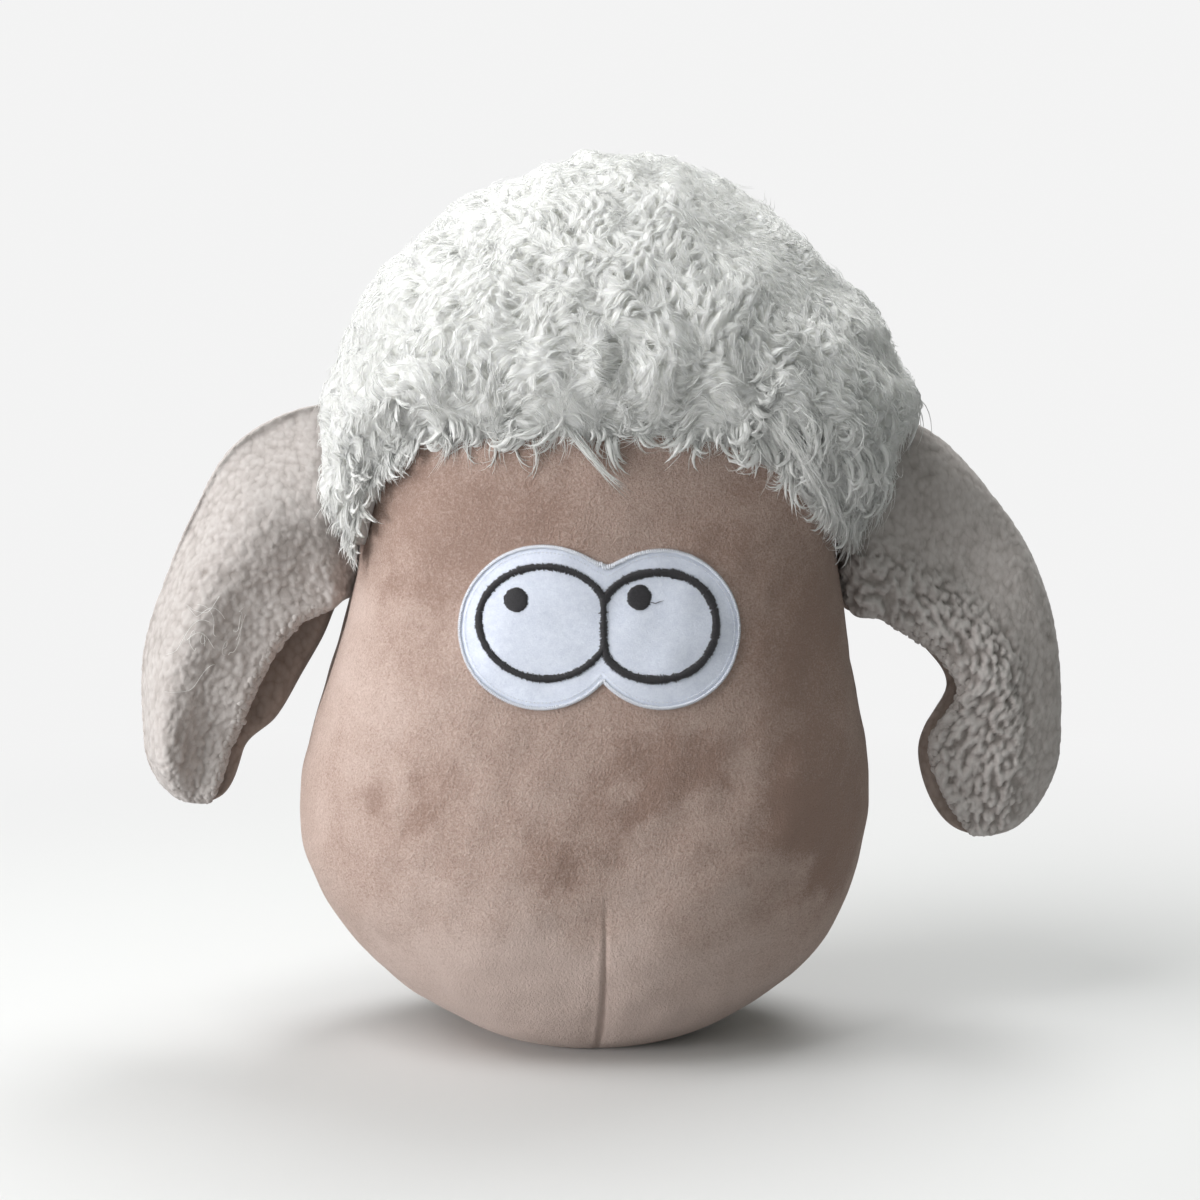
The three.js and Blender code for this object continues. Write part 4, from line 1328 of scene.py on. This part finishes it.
# Eye outlines and pupils. Black satin stitch, made of threads laid side by side: across the line in the two
# rings, which share one bar, and from side to side in the two pupils.
eye_bar_x = -0.0026
eye_bar_low, eye_bar_high = 0.2103, 0.2298
left_eye = {"x": -0.02983, "z": 0.22045, "half_width": 0.03017, "half_height": 0.02625, "line": 0.0034}
right_eye = {"x": 0.02235, "z": 0.2183, "half_width": 0.02795, "half_height": 0.0251, "line": 0.0041}
right_eye_squareness = 0.92
ring_raise = 0.0008
stitch_pitch = 0.00050
black_thread_radius = 0.00034
satin_slant, satin_unevenness = 0.0003, 0.00026
pupils = {"left": (-0.0425, 0.2309, 0.0056), "right": (0.0142, 0.2318, 0.0058)}
pupil_raise = 0.0005
stitch_bottom = felt_bottom + felt_thickness
black_thread = thread_material("black_thread", (0.006, 0.0055, 0.007), (0.024, 0.022, 0.027), 0.5, 1700.0)


def satin_line(x, z, width, seed):
    """Threads across a line of places, evenly spaced along it, slanted a little and uneven at their ends."""
    walked = running_sum(np.hypot(np.diff(x), np.diff(z)))
    count = int(walked[-1] / stitch_pitch)
    spaced = np.linspace(0, walked[-1], count)
    x, z = np.interp(spaced, walked, x), np.interp(spaced, walked, z)
    dx, dz = np.gradient(x), np.gradient(z)
    length = np.hypot(dx, dz)
    ux, uz = -dz / length, dx / length
    draw = np.random.default_rng(seed)
    half = width / 2 + draw.normal(0, satin_unevenness, count) + 0.00012 * np.sin(spaced / 0.0031 + seed)
    slant_x, slant_z = dx / length * satin_slant, dz / length * satin_slant
    start, ups = face_point(x + ux * half - slant_x, z + uz * half - slant_z, stitch_bottom)
    end = face_point(x - ux * half + slant_x, z - uz * half + slant_z, stitch_bottom)[0]
    return stitches(start, end, ups, ring_raise, black_thread_radius, rings=6)


turn = np.linspace(0, 2 * np.pi, 721)
left_x = np.minimum(left_eye["x"] + left_eye["half_width"] * np.cos(turn), eye_bar_x)
left_z = left_eye["z"] + left_eye["half_height"] * np.sin(turn)
turn = np.linspace(-np.pi, np.pi, 1441)
right_x = right_eye["x"] + right_eye["half_width"] * signed_power(np.cos(turn), right_eye_squareness)
right_z = right_eye["z"] + right_eye["half_height"] * signed_power(np.sin(turn), right_eye_squareness)
open_part = right_x > eye_bar_x + 0.0008
right_x = np.concatenate([[eye_bar_x], right_x[open_part], [eye_bar_x]])
right_z = np.concatenate([[eye_bar_low], right_z[open_part], [eye_bar_high]])
for name, x, z, width, seed in (
    ("left", left_x, left_z, left_eye["line"], 3),
    ("right", right_x, right_z, right_eye["line"], 4),
):
    points, faces = satin_line(x, z, width, seed)
    replaced = f"eye_outline_{name}"
    make_piece(f"eye_ring_{name}", points, faces, black_thread, "black_thread", replaced=replaced)

draw = np.random.default_rng(15)
for name, (centre_x, centre_z, radius) in pupils.items():
    rows = np.arange(-radius + stitch_pitch / 2, radius, stitch_pitch * 0.8)
    half = np.sqrt(radius**2 - rows**2) + 0.0001 + draw.normal(0, 0.0002, (2, len(rows)))
    start, ups = face_point(centre_x - half[0], centre_z + rows, stitch_bottom)
    end = face_point(centre_x + half[1], centre_z + rows, stitch_bottom)[0]
    points, faces = stitches(start, end, ups, pupil_raise, black_thread_radius * 1.15, rings=9)
    replaced = f"pupil_{name}"
    make_piece(f"pupil_stitches_{name}", points, faces, black_thread, "black_thread", replaced=replaced)

tail_x, tail_z = np.array([0.0190, 0.0215, 0.0236, 0.0258]), np.array([0.2296, 0.2289, 0.2297, 0.2302])
tail_lift, tail_radius = 0.0004, 0.00016
tail_path, ups = face_point(tail_x, tail_z, stitch_bottom + tail_lift)
points, faces = tubes(tail_path[None], np.full((1, 4), tail_radius), 5, ups[None])
make_piece("pupil_thread_tail", points, faces, black_thread, "black_thread")

# Ears. Each is a long leaf of three layers, curly fleece outside, thin wadding and a short piled lining, and
# is folded lengthwise and sewn to the side of the head at the top, so that it hangs and swings there.
ear_reach = 0.110
left_ear_drop, right_ear_drop = 0.198, 0.223
ear_half_thickness = 0.019
ear_forward_lean = 0.008
fleece_thickness = 0.007
wadding_thickness = 0.004
lining_thickness = 0.0025
layer_gap = 0.0003
ear_rim = 0.0068
ear_roundness = 0.5
ridge_spread = 0.2
valley_aside, valley_spread, valley_share = 0.34, 0.16, 0.6
ear_sway = 0.0012
ear_thickness_shares = [0.29, 0.76, 0.95, 1, 1, 0.97, 0.85, 0.62]
right_low, right_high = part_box("ear_right_fleece")
left_ear = {
    "side": -1,
    "name": "left",
    "drop": left_ear_drop,
    "root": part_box("ear_left_fleece")[1],
    "tucked_in": 0.002,
    "tip_start": 0.87,
    "fold_out_shares": [0, 0.348, 0.639, 0.812, 0.944, 1.048, 1.053, 1.0],
    "fold_down_shares": [0, 0.015, 0.109, 0.268, 0.434, 0.616, 0.838, 0.99],
    "edge_out_shares": [0.132, 0.166, 0.198, 0.253, 0.348, 0.466, 0.612, 0.64],
    "edge_down_shares": [0.485, 0.49, 0.525, 0.596, 0.687, 0.793, 0.869, 1.005],
    "front_width_shares": [1, 1, 0.97, 0.84, 0.79, 0.8, 0.87, 0.8],
    "ridge_shares": [0.5, 0.52, 0.52, 0.48, 0.46, 0.45, 0.45, 0.45],
    "ridge_height": 0.0085,
    "parting": 0.35,
    "ridge_nubs": 0.12,
}
right_ear = {
    "side": 1,
    "name": "right",
    "drop": right_ear_drop,
    "root": Vector((right_low.x, 0, right_high.z)),
    "tucked_in": 0.007,
    "tip_start": 0.86,
    "fold_out_shares": [0, 0.215, 0.461, 0.688, 0.875, 0.997, 1.02, 0.95],
    "fold_down_shares": [0, 0.022, 0.096, 0.22, 0.354, 0.543, 0.785, 0.991],
    "edge_out_shares": [0.057, 0.07, 0.152, 0.279, 0.415, 0.506, 0.375, 0.4],
    "edge_down_shares": [0.43, 0.48, 0.489, 0.525, 0.574, 0.659, 0.789, 1],
    "front_width_shares": [1, 1, 1, 1, 1, 1, 0.985, 0.80],
    "ridge_shares": [0.85, 0.88, 0.88, 0.84, 0.8, 0.72, 0.62, 0.6],
    "ridge_height": 0.004,
    "parting": 1.1,
    "ridge_nubs": 1.0,
}


def ear_line(ear, kind, r):
    """The fold or the edge of the ear, out from its root and down, with the root tucked in to the head."""
    tucked = ear["tucked_in"] * (1 - smoothstep(r / 0.3))
    out = ear["side"] * (ear_reach * read_shares(ear[f"{kind}_out_shares"], r) - tucked)
    down = ear["drop"] * read_shares(ear[f"{kind}_down_shares"], r)
    return np.stack([ear["root"].x + out, 0 * out, ear["root"].z - down], -1)


def ear_surface(ear, r, v, depth):
    """A point of a folded layer. r runs from the root to the tip, and v across the leaf: from the front edge
    at -1 to the fold at 0 and on to the back edge at 1. The section is two flaps joined by half an ellipse,
    at `depth` below the fleece, a function of how thick the ear is there and how far the nearest rim is. The
    width and the thickness close at the tip as an ellipse does, and the front flap swells along its ridge
    and sinks in a valley beside it."""
    closing = np.sqrt(1 - np.clip((r - ear["tip_start"]) / (1 - ear["tip_start"]), 0, 1) ** 2)
    half = ear_half_thickness * read_shares(ear_thickness_shares, r) * np.maximum(closing, 0.03) ** 0.7
    thin = half / ear_half_thickness
    fold, edge = ear_line(ear, "fold", r), ear_line(ear, "edge", r)
    inwards = unit(edge - fold)
    width = np.linalg.norm(edge - fold, axis=-1) * closing
    fold = (fold + edge) / 2 - inwards * width[..., None] / 2
    own_width = np.where(v < 0, width * read_shares(ear["front_width_shares"], r), width)
    bent = np.minimum(np.maximum(half, ear_roundness * own_width), 0.9 * own_width) + 1e-7
    bend = np.pi / 2 * np.sqrt((half**2 + bent**2) / 2)
    flat = own_width - bent
    walked = np.abs(v) * (flat + bend)
    from_rim = np.minimum((1 - np.abs(v)) * (flat + bend), (1 - r) * ear["drop"] * 0.9)
    deep = depth(thin, from_rim)
    angle = np.minimum(walked / bend, 1) * np.pi / 2
    past_bend = np.maximum(walked - bend, 0)
    n = bent - np.maximum(bent - deep, 0) * np.cos(angle) + past_bend
    y = (half - deep) * np.sin(angle) * np.sign(v)
    lengthways = smoothstep(r / 0.15) * (1 - smoothstep((r - 0.88) / 0.12))
    from_ridge = np.abs(v) - read_shares(ear["ridge_shares"], r)
    ridge = np.exp(-((from_ridge / ridge_spread) ** 2))
    ridge = ridge - valley_share * np.exp(-(((from_ridge + valley_aside) / valley_spread) ** 2))
    swell = ear["ridge_height"] * ridge * smoothstep(-v / 0.15)
    sway = ear_sway * waves(np.stack([0.2 * r, 0.07 * v, 0 * r], -1), 0.05, 67)
    place = fold + inwards * n[..., None]
    place[..., 1] += y - ear_forward_lean * r + (sway - swell) * lengthways
    return place


def fleece_outer(thin, from_rim):
    """A quarter circle over the rim of the leaf."""
    near = 1 - np.clip(from_rim / (ear_rim * thin), 0, 1)
    return ear_rim * thin * (1 - np.sqrt(1 - near**2))


def fleece_inner(thin, from_rim):
    """The thickness of the fleece below its face, and just under the quarter circle at the rim."""
    return np.maximum(fleece_thickness * thin, fleece_outer(thin, from_rim) + 0.0002 * thin)


def wadding_outer(thin, from_rim):
    """A gap below the fleece."""
    return (fleece_thickness + layer_gap) * thin


def wadding_inner(thin, from_rim):
    """The thickness of the wadding below its outer side."""
    return (fleece_thickness + wadding_thickness + layer_gap) * thin


def lining_outer(thin, from_rim):
    """A gap below the wadding, rising at the rim to a gap below the quarter circle's foot."""
    deep = wadding_inner(thin, from_rim) + layer_gap * thin
    return mix((ear_rim + layer_gap) * thin, deep, smoothstep(from_rim / (2 * ear_rim)))


def lining_inner(thin, from_rim):
    """The thickness of the lining below its outer side, closed to a gap at the rim by a quarter circle."""
    deep = wadding_inner(thin, from_rim) + (layer_gap + lining_thickness) * thin
    near = 1 - np.clip(from_rim / (ear_rim * thin), 0, 1)
    return mix((ear_rim + 2 * layer_gap) * thin, deep, np.sqrt(1 - near**2))


# The look of curly fleece: round nubs, each 1 less the squared distance to the nearest of many scattered
# points whose places waver, a fine grain of fibres over them, and soft clouds of shade. As painted shade and
# painted light, the tone falls between the nubs and rises on their backs: on these nubs, and on the nubs that
# the cloth itself has, which each point of it holds as a number.
curly, node, given, feed = new_group(
    "fleece_nubs", ("Tone", "Height"), Nubs=340.0, Grain=1400.0, Waver=0.0022, On_nub=0.0
)
place = node("TexCoord", "Object")
longer = node("Mapping", Vector=place, Scale=(1, 1, 0.75))
wavering = node("TexNoise", "Color", Vector=place, Scale=260.0)
shifted = node("VectorMath", operation="MULTIPLY_ADD", in_0=wavering, in_1=given["Waver"], in_2=longer)
nubs = node("TexVoronoi", "Distance", Vector=shifted, Scale=given["Nubs"])
grain = node("TexNoise", Vector=longer, Scale=given["Grain"], Detail=3.0, Roughness=0.7)
clouds = node("TexNoise", Vector=place, Scale=45.0, Detail=3.0)
squared = node("Math", operation="MULTIPLY", in_0=nubs, in_1=nubs)
dome = node("Math", operation="SUBTRACT", in_0=1.0, in_1=squared)
painted_nub_shade = node("Math", operation="MULTIPLY", in_0=given["On nub"], in_1=0.42)
raised = weighted(node, weighted(node, grain, 0.4, dome), 0.24, painted_nub_shade)
feed(Tone=weighted(node, clouds, 0.26, raised), Height=weighted(node, grain, 0.3, dome))


def fleece_material(name, dark, mid, light):
    """Curly fleece with painted shade and painted light: darker down between the nubs, paler on their backs.
    """
    material, node, feed = new_material(
        name, Roughness=0.95, Specular_IOR_Level=0.2, Sheen_Weight=0.25, Sheen_Roughness=0.5
    )
    # The painted shade and painted light of the cloth's own nubs.
    painted_nub_shade = node("Attribute", "Fac", attribute_name="along")
    tone = node("Group", "Tone", node_tree=curly, On_nub=painted_nub_shade)
    bump = node("Bump", Strength=0.55, Distance=0.0006, Height=tone.node.outputs["Height"])
    feed(Base_Color=ramp(node, tone, (0.25, dark), (0.58, mid), (0.95, light)), Normal=bump)
    return material


fleece = fleece_material("ear_fleece", (0.30, 0.265, 0.245), (0.49, 0.448, 0.43), (0.65, 0.615, 0.595))
lining = fleece_material("ear_lining", (0.20, 0.16, 0.14), (0.37, 0.30, 0.265), (0.52, 0.44, 0.40))


tries_for_each = 3


def ear_places(ear, count, across, lengthways, depth, draw):
    """Random places on a layer, as many on each patch of it as its area asks for, with the directions up from
    the fleece, down the ear and out to its fold."""
    def at(r, v):
        return ear_surface(ear, r, v, depth)

    tries, step = count * tries_for_each, 0.004
    r, v = draw.uniform(*lengthways, tries), draw.uniform(*across, tries)
    ahead = at(np.minimum(r + step, 1), v) - at(np.maximum(r - step, 0), v)
    along_v = at(r, np.minimum(v + step, 1)) - at(r, np.maximum(v - step, -1))
    cross = -ear["side"] * np.cross(along_v, ahead)
    size = np.linalg.norm(cross, axis=-1)
    chosen = np.flatnonzero(draw.uniform(0, np.quantile(size, 0.97), tries) < size)[:count]
    up = unit(cross[chosen])
    down = ahead[chosen]
    down = unit(down - (down * up).sum(-1, keepdims=True) * up)
    return r[chosen], v[chosen], at(r[chosen], v[chosen]), up, down, np.cross(up, down)


def lie_of(ear, r, v, down, across, draw):
    """The direction that the fleece lies in: down the ear, parted along the ridge of the front flap."""
    parted = np.clip((read_shares(ear["ridge_shares"], r) - np.abs(v)) / 0.25, -1, 1) * (v < 0)
    fading = 1 - 0.6 * smoothstep((r - 0.5) / 0.3)
    heading = ear["side"] * ear["parting"] * parted * fading + draw.normal(0, 0.3, len(r))
    return turned(heading, down, across)


def ridge_closeness(ear, r, v):
    """1 on the ridge and the inner half of the front flap, and 0 on its outer half and on the back."""
    ridge = read_shares(ear["ridge_shares"], r)
    return smoothstep((np.abs(v) - ridge + 0.32) / 0.25) * (v < 0)


def fleece_tufts(ear, places, length, plump, lift, droop, turn, draw):
    """Short fat curls of fleece that lie on the cloth: tubes that swell in the middle, with painted shade
    darkening them towards their roots.
    """
    r, v, here, up, down, across = places
    forward, sideways = lie_of(ear, r, v, down, across, draw)
    n = len(r)
    paths, beside_path = lock_paths(
        here - up * 0.001, up, forward, sideways,
        length=draw.uniform(*length, n),
        lift=draw.uniform(*lift, n),
        droop=draw.uniform(*droop, n),
        turn=draw.uniform(-turn, turn, n),
        curl_power=1.0, steps=tuft_steps,
    )
    s = np.linspace(0, 1, tuft_steps + 1)
    radii = draw.uniform(*plump, n)[:, None] * np.sin(np.pi * mix(0.2, 0.93, s)) ** 0.6
    points, faces = tubes(paths, radii, tuft_sides, beside_path, 0.8)
    return points, faces, np.tile(0.45 + 0.5 * along_tube(s, tuft_sides), n)


ear_rows, ear_columns = 191, 151
nub_count = 4000
nub_long, nub_short = 0.0027, 0.0018
nub_low, nub_high = 0.00035, 0.0034
nub_tilt, nub_bend = 0.45, 40
tuft_steps, tuft_sides = 5, 6
rim_tufts = 170

for ear in (left_ear, right_ear):
    side, body = ear["side"], f"ear_{ear['name']}"
    draw = np.random.default_rng(70 + side)
    rows, columns = 1 - (1 - np.linspace(0, 1, ear_rows)) ** 1.25, np.linspace(-1, 1, ear_columns) * -side
    v, r = np.meshgrid(columns, rows)
    outer, inner = ear_surface(ear, r, v, fleece_outer), ear_surface(ear, r, v, fleece_inner)
    outwards = unit(np.cross(np.gradient(outer, axis=1), np.gradient(outer, axis=0)))
    nr, nv, centres, up, down, across = ear_places(ear, nub_count, (-1, 1), (0, 1), fleece_outer, draw)
    forward, sideways = lie_of(ear, nr, nv, down, across, draw)
    raised = mix(0.85, 1.15, ridge_closeness(ear, nr, nv) * ear["ridge_nubs"])
    size = draw.uniform(0.75, 1.15, nub_count) * raised
    nubs = {
        "centre": centres, "up": up, "forward": forward, "sideways": sideways,
        "half_length": nub_long * size, "half_width": nub_short * size,
        "bend": draw.uniform(-nub_bend, nub_bend, nub_count),
    }
    relief = lump_relief(outer, nubs, nub_tilt)[0]
    near_ridge = ridge_closeness(ear, r, v) * ear["ridge_nubs"]
    held = smoothstep(np.minimum(r, 1 - r) / 0.02) * smoothstep((1 - np.abs(v)) / 0.03)
    outer = outer + outwards * (mix(nub_low, nub_high, near_ridge) * (relief - 0.35) * held)[..., None]
    # Painted shade and painted light: the fleece darkens in the creases between the cloth's nubs and pales on
    # their backs, more so near the ridge.
    shade = mix(0.6, 0.1 + 0.9 * relief, 0.4 + 0.6 * near_ridge)
    points, faces, shade = welded(*shell(outer, inner), np.concatenate([shade.ravel(), np.zeros(v.size)]))
    make_piece(f"{body}_fleece_cloth", points, faces, fleece, "fleece", body, f"{body}_fleece", along=shade)

    v2, r2 = v[::2, ::2], r[::2, ::2]
    layers = ear_surface(ear, r2, v2, lining_outer), ear_surface(ear, r2, v2, lining_inner)
    points, faces = welded(*shell(*layers))
    shade = np.full(len(points), 0.4)
    make_piece(f"{body}_lining_cloth", points, faces, lining, "lining", body, f"{body}_lining", along=shade)

    v3, r3 = v[12:-12:3, 6:-6:3], r[12:-12:3, 6:-6:3]
    layers = ear_surface(ear, r3, v3, wadding_outer), ear_surface(ear, r3, v3, wadding_inner)
    points, faces = shell(*layers)
    name, replaced = f"{body}_wadding_fibre", f"{body}_wadding"
    pad = make_piece(name, points, faces, filling_material, "filling", body, replaced)

    front_rim = ear_places(ear, rim_tufts, (-1, -0.93), (0.3, 0.985), fleece_outer, draw)
    points, faces, along = fleece_tufts(
        ear, front_rim, length=(0.0035, 0.0055), plump=(0.0017, 0.0023), lift=(0.1, 0.4),
        droop=(-0.7, -0.2), turn=1.2, draw=draw,
    )
    make_piece(f"{body}_fleece_tufts", points, faces, fleece, "fleece", body, along=along)

# Stray fibres. Loose white wool from the cap lies across the left ear's fleece and clings to it.
stray_count, stray_steps = 12, 20
stray_radius = 0.00016
draw = np.random.default_rng(83)
s = np.linspace(0, 1, stray_steps + 1)
each = (stray_count, 1)
lengthways = draw.normal(0.60, 0.05, each) + draw.uniform(-0.12, 0.12, each) * s
across = draw.uniform(-0.75, -0.45, each) + draw.uniform(-0.05, 0.3, each) * s
wandering = draw.uniform(0, 2 * np.pi, each)
lengthways = lengthways + 0.012 * np.sin(wandering + 6 * s) + 0.003 * np.sin(2.3 * wandering + 11 * s)
across = across + 0.02 * np.sin(1.7 * wandering + 6 * s)
paths = ear_surface(left_ear, lengthways, across, fleece_outer)
paths[..., 1] -= 0.0014 + 0.0006 * np.sin(wandering + 9 * s)
radii = np.broadcast_to(stray_radius * (1 - 0.5 * s), paths.shape[:2])
points, faces = tubes(paths, radii, 3, np.broadcast_to([0.0, -1.0, 0.0], paths.shape))
make_piece(
    "ear_left_stray_fibres", points, faces, wool_strands, "wool", "ear_left",
    tone=np.ones(len(points)), fibre=points * 300,
)

# Ear stitches. A row of strong hand stitches at the top of each ear's root holds it to the head's side seam,
# and leaves the rest of the root free to swing.
loops = 8
loop_half_width, loop_half_depth, loop_half_height = 0.0009, 0.0006, 0.0012
loop_arch, loop_radius = 0.0008, 0.0005
for name, slope in (("left", 1), ("right", -1)):
    low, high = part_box(f"ear_{name}_stitching")
    centre_x = (low.x + high.x) / 2
    levels = mix(low.z, high.z, (np.arange(loops) + 0.5) / loops)
    lean = (high.x - low.x) * 0.5 - 0.0012
    xs = centre_x + slope * lean * (levels - (low.z + high.z) / 2) / (high.z - low.z) * 2
    starts = np.stack([xs - loop_half_width, 0 * xs - loop_half_depth, levels - loop_half_height], -1)
    ends = np.stack([xs + loop_half_width, 0 * xs + loop_half_depth, levels + loop_half_height], -1)
    ups = np.tile([0.0, -1.0, 0.0], (loops, 1))
    points, faces = stitches(starts, ends, ups, loop_arch, loop_radius, rings=6, sides=6)
    seam, replaced = f"ear_{name}_seam", f"ear_{name}_stitching"
    make_piece(f"ear_{name}_stitches", points, faces, brown_thread, "brown_thread", seam, replaced)
